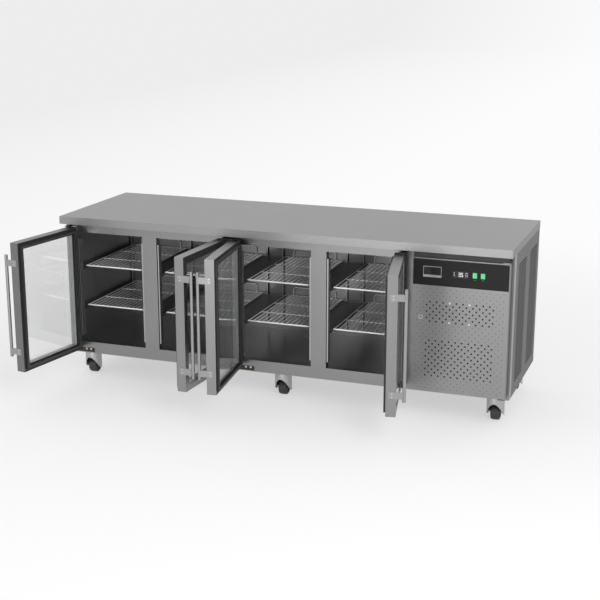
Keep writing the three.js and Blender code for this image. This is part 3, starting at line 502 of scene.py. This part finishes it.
for door, leaf in leaves.items():
    body = f"door_{door}"
    low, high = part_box(f"door_{door}_handle")
    bottom, top = low.z - handle_drop, high.z - handle_drop
    x0, x1, y0, y1 = leaf.limits(f"door_{door}_handle")
    bar_x, bar_y = x1 - plate_sheet + plate_weld - bar_radius, y0 + bar_radius
    length = top - bottom
    ends = [(0, bar_radius - bar_round), (bar_round, bar_radius)]
    ends += [(length - along, radius) for along, radius in reversed(ends)]
    bar = bmesh.new()
    turned(bar, leaf.place @ Vector((bar_x, bar_y, bottom)), leaf.place @ Vector((bar_x, bar_y, top)), ends)
    handle = add_piece(f"door_{door}_handle_bar", bar, handle_steel, body, smooth_angle=40)
    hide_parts(f"door_{door}_handle")
    plates, screws = bmesh.new(), bmesh.new()
    outward = leaf.place.to_3x3() @ Vector((1, 0, 0))
    plate_y = bar_y + plate_start * bar_radius
    for z in (bottom + lower_plate_end, top - upper_plate_end - plate_height):
        slab(plates, (x1 - plate_sheet, plate_y, z), (x1, y1, z + plate_height), leaf.place)
        for rise in screw_rises:
            seat = leaf.place @ Vector((x1 - skim, screw_depth, z + rise))
            screw_head(screws, seat, outward, handle_screw, 2 * skim)
    add_piece(f"door_{door}_handle_plates", plates, handle_steel, body, plate_fold)
    add_piece(f"door_{door}_handle_screws", screws, screw_bright, body, smooth_angle=40)

# Door hinges
# Folded plates, dark passivated, with an arm that carries the pin under and over each leaf.
# The lower plate is held to the bottom rail by two bright pan-head screws.
hinge_brown = grained("hinge_brown", (0.062, 0.052, 0.04), 0.42, "none", 0.35, 0.8)
hinge_sheet = 0.003
hinge_gap = 0.002
hinge_screw = 0.0056
hinge_screw_height = 0.0026
hinge_screw_inset = 0.017
hinge_screw_pitch = 0.0245
arm_half = 0.014
upper_plate_reach = 0.057
frame_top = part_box("front_frame")[1].z
for door, leaf in leaves.items():
    low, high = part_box(f"door_{door}_lower_hinge")
    dress(f"door_{door}_lower_hinge", hinge_brown, frame_fold)
    end_x = high.x if leaf.side > 0 else low.x
    plate_front = high.y - hinge_sheet
    screws = bmesh.new()
    for step in (0, 1):
        x = end_x - leaf.side * (hinge_screw_inset + step * hinge_screw_pitch)
        seat = Vector((x, plate_front, (low.z + high.z) / 2))
        screw_head(screws, seat, Vector((0, -1, 0)), hinge_screw, hinge_screw_height)
    add_piece(f"door_{door}_hinge_screws", screws, screw_bright, "cabinet", smooth_angle=40)
    arm_low = leaf.high + hinge_gap
    arm_high = arm_low + hinge_sheet + seat_gap
    x0, x1 = leaf.pin.x - arm_half - seat_gap, leaf.pin.x + arm_half + seat_gap
    cover = bmesh.new()
    slab(cover, (x0, low.y - seat_gap, arm_low + skim), (x1, plate_front, arm_high))
    plate_end = leaf.pin.x + leaf.side * upper_plate_reach
    start = (leaf.pin.x - leaf.side * arm_half, plate_front - seat_gap, arm_low + skim)
    slab(cover, start, (plate_end, plate_front, frame_top))
    add_piece(f"door_{door}_upper_arm", cover, hinge_brown, "cabinet")

# Service door
# A folded stainless tray, punched all over in a staggered grid: right through in two zones, and
# only dimpled elsewhere, so a thin dotted skin lies on a backing that has the open holes alone.
service_steel = grained("service_steel", (0.295, 0.295, 0.295), 0.38, "x", 0.05)
# Painted shade: the backing, seen only in the dimples, is a darker copy of the steel.
dimple_shade_steel = grained("dimple_shade_steel", (0.16, 0.16, 0.16), 0.55, "x", 0.05)
service_low, service_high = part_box("service_door")
fascia_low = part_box("control_fascia")[0]
controller_low, controller_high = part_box("controller")
rocker_boxes = [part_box(f"rocker_switch_{k}") for k in (1, 2)]
lock_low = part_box("door_lock")[0]
lock_centre = Vector(joints["lock_turn"]["pos_m"])
dot_step = 0.015
hole_radius = 0.0041
dimple_radius = 0.0025
first_row_rise = 0.077
lower_rows = range(0, 12)
upper_rows = range(17, 24)
open_columns = 10
fixing_columns = -3, 3
dot_margin = 0.013
lock_hole = 0.009
control_rim = 0.003
rocker_gap = 0.0008
skin_sheet = 0.0005
tray_sheet = 0.0015
fixing_radius = 0.0055
fixing_height = 0.0018


def circle(u, v, radius, sides=14):
    turns = [k * math.tau / sides for k in range(sides)]
    return [(u + radius * math.cos(a), v + radius * math.sin(a)) for a in turns]


def upright_sheet(outline, holes, near, far):
    sheet = punched_sheet(outline, holes, far - near)
    sheet.transform(Matrix.Translation((0, (near + far) / 2, 0)) @ Matrix.Rotation(math.pi / 2, 4, "X"))
    return sheet


face_y = service_low.y
middle = (service_low.x + service_high.x) / 2
first_row = service_low.z + first_row_rise
rows_below = int(first_row_rise / dot_step)
rows_above = int((service_high.z - first_row) / dot_step)
half_columns = int((service_high.x - middle) / dot_step)
holes, dimples = [], []
for row in range(-rows_below, rows_above):
    z = first_row + dot_step * row
    if not service_low.z + dot_margin < z < fascia_low.z - dot_margin / 2:
        continue
    for column in range(-half_columns, half_columns + 1):
        x = middle + dot_step * column
        if (column + row) % 2 or not service_low.x + dot_margin < x < service_high.x - dot_margin:
            continue
        if math.hypot(x - lock_centre.x, z - lock_centre.z) < 2 * lock_hole:
            continue
        through = abs(column) <= open_columns and (row in lower_rows or row in upper_rows)
        (holes if through else dimples).append((x, z))
x0, x1, z0, z1 = controller_low.x, controller_high.x, controller_low.z, controller_high.z
control_cuts = [rectangle(*inset_by((x0, x1, z0, z1), control_rim))]
for low, high in rocker_boxes:
    control_cuts.append(rectangle(*inset_by((low.x, high.x, low.z, high.z), -rocker_gap)))
control_cuts.append(circle(lock_centre.x, lock_centre.z, lock_hole, 24))
whole = (service_low.x, service_high.x, service_low.z, service_high.z)
dots = [circle(x, z, hole_radius) for x, z in holes]
dents = [circle(x, z, dimple_radius, 10) for x, z in dimples]
skin = upright_sheet(rectangle(*whole), control_cuts + dots + dents, face_y, face_y + skin_sheet)
skin = add_piece("service_skin", skin, service_steel, "service_leaf")
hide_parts("service_door")
backing = upright_sheet(rectangle(*whole), control_cuts + dots, face_y + skin_sheet, face_y + tray_sheet)
add_piece("service_backing", backing, dimple_shade_steel, "service_leaf")
folds = bmesh.new()
ring(folds, whole, tray_sheet, face_y + tray_sheet, service_high.y)
add_piece("service_folds", folds, service_steel, "service_leaf")
fixings = bmesh.new()
for row in (upper_rows[0], upper_rows[-1]):
    for column in fixing_columns:
        seat = Vector((middle + dot_step * column, face_y, first_row + dot_step * row))
        screw_head(fixings, seat, Vector((0, -1, 0)), fixing_radius, fixing_height)
add_piece("service_screws", fixings, screw_bright, "service_leaf", smooth_angle=40)
# Two near-black mats stand just behind the zones of open holes, so the holes read black.
mat_half_width, mat_depth, mat_back, mat_past_rows = 0.16, 0.006, 0.004, 0.7
hole_back_black = grained("hole_back_black", (0.004, 0.004, 0.004), 0.9, "none", 0.3, 0.0)
mats = bmesh.new()
for rows in (lower_rows, upper_rows):
    z0, z1 = (first_row + dot_step * row for row in (rows[0] - mat_past_rows, rows[-1] + mat_past_rows))
    start = (middle - mat_half_width, face_y + mat_back, z0)
    slab(mats, start, (middle + mat_half_width, face_y + mat_back + mat_depth, z1))
add_piece("service_hole_mats", mats, hole_back_black, "service_leaf")

# Strip above the service door
# A dark sheet in the gap between the door's top edge and the worktop: painted shade in the
# open slot there.
slot_shade_dark = grained("slot_shade_dark", (0.05, 0.05, 0.05), 0.5, "x", 0.1, 0.5)
strip_setback, strip_sheet, strip_gap = 0.006, 0.0012, 0.002
strip = bmesh.new()
start = (service_low.x + strip_gap, face_y + strip_setback, service_high.z + strip_gap)
slab(strip, start, (service_high.x - strip_gap, start[1] + strip_sheet, frame_top))
add_piece("service_slot_shade", strip, slot_shade_dark, "cabinet")

# Control fascia
# A dark plastic strip glued to the top of the service door. Its badge plate is left bare:
# a black field in a thin bright rim.
fascia_plastic = grained("fascia_plastic", (0.013, 0.013, 0.0135), 0.48, "x", 0.12, 0.0, 0.02)
fascia_plastic.node_tree.nodes["Principled BSDF"].inputs["Specular IOR Level"].default_value = 0.22
badge_steel = grained("badge_steel", (0.42, 0.42, 0.42), 0.35, "x")
gloss_black = grained("gloss_black", (0.004, 0.004, 0.004), 0.22, "none", 0.3, 0.0, 0.01)
badge_left = 0.046
badge_width, badge_height = 0.083, 0.049
badge_raise = 0.0025
badge_rim = 0.0024
badge_band = 0.008
badge_sheet = 0.0008
dress("control_fascia", fascia_plastic, 0.0004)
controls_z = (controller_low.z + controller_high.z) / 2
x0 = fascia_low.x + badge_left
z0 = controls_z + badge_raise - badge_height / 2
badge = (x0, x0 + badge_width, z0, z0 + badge_height)
field = inset_by(badge, badge_rim)
rim = bmesh.new()
ring(rim, badge, badge_rim, fascia_low.y - badge_sheet, fascia_low.y)
slab(rim, (field[0], fascia_low.y - badge_sheet, field[2]), (field[1], fascia_low.y, field[2] + badge_band))
add_piece("badge_rim", rim, badge_steel, "service_leaf")
plate = bmesh.new()
slab(plate, (field[0], fascia_low.y - badge_sheet / 2, field[2]), (field[1], fascia_low.y, field[3]))
add_piece("badge_field", plate, gloss_black, "service_leaf")

# Controller
# A snap-in temperature controller with a gloss black bezel and a lit display. It shows a
# plain number, with small lit marks at both sides and a red one below.
dress("controller", gloss_black, 0.001)


def lit(name, colour, strength):
    material = grained(name, colour, 0.3, "none", 0.1, 0.0, 0.01)
    shader = material.node_tree.nodes["Principled BSDF"]
    shader.inputs["Emission Color"].default_value = (*colour, 1)
    shader.inputs["Emission Strength"].default_value = strength
    return material


display_white = lit("display_white", (0.8, 0.85, 0.88), 0.6)
display_red = lit("display_red", (0.7, 0.03, 0.02), 0.7)
digit_width, digit_height = 0.0085, 0.0175
stroke = 0.0016
digit_gap = 0.0035
raise_lit = 0.0003
mark_insets = 0.008, -0.018, -0.011
mark_width, mark_pitch = 0.0034, 0.007
red_radius, red_rise = 0.0013, 0.005
lit_segments = {"3": "abcdg", "5": "acdfg"}


def segment(key, x, z):
    far_x, top_z, middle_z = x + digit_width, z + digit_height, z + digit_height / 2
    return {
        "a": (x, far_x, top_z - stroke, top_z),
        "b": (far_x - stroke, far_x, middle_z, top_z),
        "c": (far_x - stroke, far_x, z, middle_z),
        "d": (x, far_x, z, z + stroke),
        "f": (x, x + stroke, middle_z, top_z),
        "g": (x, far_x, middle_z - stroke / 2, middle_z + stroke / 2),
    }[key]


display_y = controller_low.y
digit_z = controls_z - digit_height / 2
display_x = (controller_low.x + controller_high.x) / 2
bars = [(display_x - stroke / 2, display_x + stroke / 2, digit_z, digit_z + stroke)]
for digit, x in (("3", display_x - digit_width - digit_gap / 2), ("5", display_x + digit_gap / 2)):
    bars += [segment(key, x, digit_z) for key in lit_segments[digit]]
for inset in mark_insets:
    x = (controller_low.x if inset > 0 else controller_high.x) + inset
    for step in (-1, 0, 1):
        z = controls_z + step * mark_pitch
        bars.append((x, x + mark_width, z - stroke / 2, z + stroke / 2))
digits = bmesh.new()
for x0, x1, z0, z1 in bars:
    slab(digits, (x0, display_y - raise_lit, z0), (x1, display_y, z1))
add_piece("display_digits", digits, display_white, "service_leaf")
mark = bmesh.new()
mark_seat = Vector((display_x, display_y, controller_low.z + red_rise))
screw_head(mark, mark_seat, Vector((0, -1, 0)), red_radius, raise_lit)
add_piece("display_mark", mark, display_red, "service_leaf")

# Rocker switches
# Two snap-in rockers moulded in clear green plastic and lit from behind, each in a thin black
# surround, with a faint moulded tick below it on the fascia.
lens_green = lit("lens_green", (0.1, 0.5, 0.2), 0.4)
tick_grey = grained("tick_grey", (0.3, 0.3, 0.3), 0.5, "none", 0.1, 0.0)
surround_width, surround_sheet = 0.0018, 0.0012
tick_half, tick_drop, tick_height = 0.005, 0.008, 0.0012
for k, (low, high) in enumerate(rocker_boxes, 1):
    dress(f"rocker_switch_{k}", lens_green, 0.0006)
    hole = inset_by((low.x, high.x, low.z, high.z), -rocker_gap)
    rim = bmesh.new()
    around = inset_by(hole, -surround_width)
    ring(rim, around, surround_width, fascia_low.y - surround_sheet, fascia_low.y)
    add_piece(f"rocker_surround_{k}", rim, gloss_black, "service_leaf")
    x, z = (low.x + high.x) / 2, low.z - tick_drop
    tick = bmesh.new()
    slab(tick, (x - tick_half, fascia_low.y - skim, z), (x + tick_half, fascia_low.y, z + tick_height))
    add_piece(f"rocker_tick_{k}", tick, tick_grey, "service_leaf")

# Lock
# A plated cam lock with a turned ring round a keyed plug. The cam hangs behind the door.
# A nut holds the barrel from behind, and the key slot stands upright.
lock_metal = grained("lock_metal", (0.66, 0.63, 0.56), 0.32, "none", 0.06)
plug_metal = grained("plug_metal", (0.3, 0.29, 0.27), 0.4, "none")
plug_radius, plug_height = 0.0062, 0.0008
slot_half_width, slot_half_height = 0.0006, 0.003
dress("door_lock", lock_metal)
plug_seat = Vector((lock_centre.x, lock_low.y, lock_centre.z))
plug = bmesh.new()
screw_head(plug, plug_seat, Vector((0, -1, 0)), plug_radius, plug_height)
add_piece("lock_plug", plug, plug_metal, "lock", smooth_angle=40)
# Painted shade: the key slot is a near-black slab.
key_slot = bmesh.new()
reach = Vector((slot_half_width, 0, slot_half_height))
slot_front = plug_seat - Vector((0, plug_height + skim, 0))
slab(key_slot, slot_front - reach, slot_front + reach + Vector((0, skim, 0)))
add_piece("lock_key_slot", key_slot, recess_painted_shade, "lock")

# Right side panel
# A grey coated sheet over the refrigeration unit, with two columns of short louvres pressed
# inwards for air.
# Painted shade: the grey coat is made darker still, as shade on this side, which faces away from the light.
panel_coat_and_shade = grained("panel_coat_and_shade", (0.105, 0.105, 0.107), 0.5, "z", 0.05, 0.5)
# Painted shade: the louvre blades are near black, as shade inside the pressed openings.
louvre_shade = grained("louvre_shade", (0.012, 0.012, 0.012), 0.7, "none", 0.1, 0.1)
panel_low, panel_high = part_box("right_side_panel")
panel_sheet = 0.0015
louvre_pitch = 0.0155
louvre_height = 0.0068
louvre_depth = 0.008
louvre_low_margin, louvre_high_margin = 0.055, 0.05
column_shares = (0.11, 0.43), (0.6, 0.92)
panel_depth = panel_high.y - panel_low.y
louvre_rows = int((panel_high.z - panel_low.z - louvre_low_margin - louvre_high_margin) / louvre_pitch)
x = panel_high.x - panel_sheet
slots = []
blades = bmesh.new()
for start_share, end_share in column_shares:
    y0, y1 = panel_low.y + start_share * panel_depth, panel_low.y + end_share * panel_depth
    for row in range(louvre_rows):
        z = panel_low.z + louvre_low_margin + louvre_pitch * row
        top = z + louvre_height
        slots.append(rectangle(y0, y1, z, top))
        tip = x - louvre_depth
        section = [(x, top), (x, top + panel_sheet), (tip, z + panel_sheet), (tip, z)]
        end = blades.faces.new([blades.verts.new((u, y0, v)) for u, v in section])
        draw_out(blades, [end], (0, y1 - y0, 0))
panel_outline = rectangle(panel_low.y, panel_high.y, panel_low.z, panel_high.z)
sheet = punched_sheet(panel_outline, slots, panel_sheet)
sheet.transform(facing_x(panel_high.x - panel_sheet / 2))
panel = add_piece("panel_sheet", sheet, panel_coat_and_shade, "cabinet")
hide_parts("right_side_panel")
add_piece("panel_louvres", blades, louvre_shade, "cabinet")

# Castors
# A pressed and zinc plated hood swivels under each plate, with a slanted mouth at the front and
# cheeks that carry the axle of a black rubber wheel with rounded shoulders.
castor_zinc = grained("castor_zinc", (0.46, 0.46, 0.45), 0.44, "none", 0.06)
rubber = grained("rubber", (0.032, 0.032, 0.033), 0.6, "none", 0.15, 0.0)
hood_sheet = 0.003
hood_radius = 0.041
hood_shoulder = 0.014
hood_sides = 72
mouth_drop = 0.038
mouth_end = math.radians(98)
window_start = math.radians(139)
window_blend = math.radians(9)
window_drop = 0.05
kingpin_hole = 0.0112
axle_radius, axle_round = 0.005, 0.0012
wheel_bore = 0.0062
wheel_hub = (0.3, 0.85), (0.32, 0.75), (0.66, 0.75)
wheel_shares = *wheel_hub, (0.7, 0.95), (0.86, 1), (0.95, 0.9), (0.99, 0.7), (1, 0.35)
wheel_sides = 48


def hood_edge(angle, low, top):
    if angle < mouth_end:
        share = (1 + math.cos(math.pi * angle / mouth_end)) / 2
        return low + (top - mouth_drop - low) * share
    rise = min(1, max(0, (angle - window_start) / window_blend))
    return low + (top - window_drop - low) * rise * rise * (3 - 2 * rise)


def hood_section(edge, top):
    bend = top - hood_shoulder
    outer = [(hood_radius, edge), (hood_radius, bend)]
    for a in (math.pi / 6, math.pi / 3, math.pi / 2):
        outer.append((hood_radius - hood_shoulder * (1 - math.cos(a)), bend + hood_shoulder * math.sin(a)))
    underside = top - hood_sheet
    inner = [(kingpin_hole, top), (kingpin_hole, underside), (hood_radius - hood_shoulder, underside)]
    return outer + inner + [(hood_radius - hood_sheet, bend), (hood_radius - hood_sheet, edge)]


for castor in range(1, 7):
    low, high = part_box(f"castor_{castor}_hood")
    swivel = Vector(joints[f"castor_{castor}_swivel"]["pos_m"])
    axle = Vector(joints[f"castor_{castor}_roll"]["pos_m"])
    hood = bmesh.new()
    section = [Vector((swivel.x, swivel.y - r, z)) for r, z in hood_section(low.z, high.z)]
    spun(hood, section, swivel, (0, 0, 1), hood_sides, True)
    for knot in hood.verts:
        if knot.co.z < low.z + skim:
            angle = abs(math.atan2(knot.co.x - swivel.x, swivel.y - knot.co.y))
            knot.co.z = hood_edge(angle, low.z, high.z)
    half = (high.x - low.x) / 2
    ends = [(0, axle_radius - axle_round), (axle_round, axle_radius)]
    ends += [(2 * half - along, radius) for along, radius in reversed(ends)]
    turned(hood, axle - Vector((half, 0, 0)), axle + Vector((half, 0, 0)), ends, 20)
    body = f"castor_{castor}"
    shell = add_piece(f"{body}_shell", hood, castor_zinc, body, smooth_angle=35)
    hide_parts(f"castor_{castor}_hood")
    low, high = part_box(f"castor_{castor}_wheel")
    tread, wide = (high.y - low.y) / 2, (high.x - low.x) / 2
    outline = [(wheel_bore, wide * wheel_shares[0][1])] + [(tread * r, wide * w) for r, w in wheel_shares]
    outline += [(r, -w) for r, w in reversed(outline)]
    wheel = bmesh.new()
    spun(wheel, [axle + Vector((w, r, 0)) for r, w in outline], axle, (1, 0, 0), wheel_sides, True)
    tyre = add_piece(f"castor_{castor}_tyre", wheel, rubber, f"wheel_{castor}", smooth_angle=40)
    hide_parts(f"castor_{castor}_wheel")

# Refrigeration unit
# A black enamelled compressor on its feet, a dark coated condenser with its shroud, and a
# plastic fan. They stand behind the perforated door and show only through its holes.
dress("compressor", grained("compressor_enamel", (0.012, 0.012, 0.012), 0.35, "none", 0.2, 0.0), 0.001)
dress("condenser", grained("condenser_coat", (0.02, 0.02, 0.02), 0.6, "none", 0.2, 0.0))
dress("condenser_fan", grained("fan_plastic", (0.02, 0.02, 0.02), 0.5, "none", 0.2, 0.0))

# Floor and backdrop
# A pale studio sweep that runs up behind the object. Near the object the floor keeps its
# shadow, and further out its colour, as the camera and metal see it, fades to plain paper.
paper_tone = 0.96
paper_left, paper_right = 0.85, 0.975
wash_from, wash_to = -7.5, -1.0
sweep_front, sweep_start = -30.0, 26.0
sweep_radius = 8.0
sweep_height = 30.0
sweep_half_width = 45.0
sweep_steps = 8
fade_from, fade_to = 1.4, 4.5
lift = 0.5
studio_paper = bpy.data.materials.new("studio_paper")
studio_paper.use_nodes = True
tree = studio_paper.node_tree
paper = tree.nodes["Principled BSDF"]
paper.inputs["Base Color"].default_value = (paper_tone, paper_tone, paper_tone, 1)
paper.inputs["Roughness"].default_value = 1
paper.inputs["Specular IOR Level"].default_value = 0


def seen_rays(tree):
    path = tree.nodes.new("ShaderNodeLightPath")
    seen = path.outputs["Is Camera Ray"]
    for kind in ("Is Glossy Ray", "Is Transmission Ray"):
        either = tree.nodes.new("ShaderNodeMath")
        either.operation = "MAXIMUM"
        tree.links.new(seen, either.inputs[0])
        tree.links.new(path.outputs[kind], either.inputs[1])
        seen = either.outputs[0]
    return seen


paper_place = tree.nodes.new("ShaderNodeTexCoord")
distance = tree.nodes.new("ShaderNodeVectorMath")
distance.operation = "LENGTH"
tree.links.new(paper_place.outputs["Object"], distance.inputs[0])
fade = tree.nodes.new("ShaderNodeMapRange")
fade.interpolation_type = "SMOOTHSTEP"
fade.inputs["From Min"].default_value = fade_from
fade.inputs["From Max"].default_value = fade_to
fade.inputs["To Min"].default_value = lift
tree.links.new(distance.outputs["Value"], fade.inputs["Value"])
lifted_share = tree.nodes.new("ShaderNodeMath")
lifted_share.operation = "MULTIPLY"
tree.links.new(seen_rays(tree), lifted_share.inputs[0])
tree.links.new(fade.outputs["Result"], lifted_share.inputs[1])
flat_paper = tree.nodes.new("ShaderNodeEmission")
flat_paper.inputs["Color"].default_value = (1, 1, 1, 1)
# Painted light: the plain paper's glow grows from darker at the left to brighter at the right, as light
# falling off.
across = tree.nodes.new("ShaderNodeSeparateXYZ")
tree.links.new(paper_place.outputs["Object"], across.inputs[0])
wash = tree.nodes.new("ShaderNodeMapRange")
wash.inputs["From Min"].default_value = wash_from
wash.inputs["From Max"].default_value = wash_to
wash.inputs["To Min"].default_value = paper_left
wash.inputs["To Max"].default_value = paper_right
tree.links.new(across.outputs["X"], wash.inputs["Value"])
tree.links.new(wash.outputs["Result"], flat_paper.inputs["Strength"])
mixed = tree.nodes.new("ShaderNodeMixShader")
tree.links.new(lifted_share.outputs[0], mixed.inputs[0])
tree.links.new(paper.outputs["BSDF"], mixed.inputs[1])
tree.links.new(flat_paper.outputs["Emission"], mixed.inputs[2])
tree.links.new(mixed.outputs["Shader"], tree.nodes["Material Output"].inputs["Surface"])
profile = [(sweep_front, 0), (sweep_start, 0)]
for step in range(1, sweep_steps + 1):
    a = step * math.pi / 2 / sweep_steps
    profile.append((sweep_start + sweep_radius * math.sin(a), sweep_radius * (1 - math.cos(a))))
profile.append((sweep_start + sweep_radius, sweep_height))
sweep = bmesh.new()
knots = [sweep.verts.new((-sweep_half_width, y, z)) for y, z in profile]
edges = [sweep.edges.new(pair) for pair in zip(knots, knots[1:])]
grown = bmesh.ops.extrude_edge_only(sweep, edges=edges)["geom"]
far_side = [knot for knot in grown if isinstance(knot, bmesh.types.BMVert)]
bmesh.ops.translate(sweep, verts=far_side, vec=(2 * sweep_half_width, 0, 0))
for face in sweep.faces:
    face.smooth = True
floor = bpy.data.objects.new("floor", bpy.data.meshes.new("floor"))
sweep.to_mesh(floor.data)
sweep.free()
floor.data.materials.append(studio_paper)
bpy.context.scene.collection.objects.link(floor)

# Light
# An even white dome with three large soft lamps: the key stands high at the front right, one
# low behind the camera, and a weaker one at the front left. Metal and glass see the dome too.
dome_light, dome_seen = 0.75, 0.92
aim = Vector((0.2, 0, 0.4))
lamps = {
    "key": ((3.4, -3.6, 3.2), 2.6, 95),
    "front": ((-0.3, -6.0, 0.8), 1.8, 42),
    "fill": ((-3.6, -3.8, 2.6), 3.0, 22),
}
world = bpy.data.worlds.new("studio")
bpy.context.scene.world = world
world.use_nodes = True
tree = world.node_tree
tree.nodes.clear()
dome_mix = tree.nodes.new("ShaderNodeMixShader")
tree.links.new(seen_rays(tree), dome_mix.inputs[0])
for socket, strength in ((1, dome_light), (2, dome_seen)):
    dome = tree.nodes.new("ShaderNodeBackground")
    dome.inputs["Color"].default_value = (1, 1, 1, 1)
    dome.inputs["Strength"].default_value = strength
    tree.links.new(dome.outputs[0], dome_mix.inputs[socket])
world_output = tree.nodes.new("ShaderNodeOutputWorld")
tree.links.new(dome_mix.outputs[0], world_output.inputs["Surface"])
for name, (spot, size, watts) in lamps.items():
    lamp = bpy.data.objects.new(name, bpy.data.lights.new(name, "AREA"))
    lamp.data.shape = "DISK"
    lamp.data.size = size
    lamp.data.energy = watts
    lamp.location = spot
    lamp.rotation_euler = (aim - Vector(spot)).to_track_quat("-Z", "Y").to_euler()
    bpy.context.scene.collection.objects.link(lamp)

# Camera
# It stands where the photograph's camera did, found by fitting the cabinet's corners. Its place
# is measured from the middle of the worktop's front edge.
top_low, top_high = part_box("worktop")
camera_right, camera_forward, camera_height = 2.0587, 5.2973, 2.038
camera_tilt, camera_turn = math.radians(74.974), math.radians(19.933)
lens_pixels, frame_pixels = 1261, 600
camera = bpy.data.objects.new("camera", bpy.data.cameras.new("camera"))
camera.data.sensor_width = 36
camera.data.lens = camera.data.sensor_width * lens_pixels / frame_pixels
camera.data.clip_end = 200
camera.location = ((top_low.x + top_high.x) / 2 + camera_right, top_low.y - camera_forward, camera_height)
camera.rotation_euler = (camera_tilt, 0, camera_turn)
bpy.context.scene.collection.objects.link(camera)
bpy.context.scene.camera = camera
bpy.context.scene.view_settings.view_transform = "Standard"
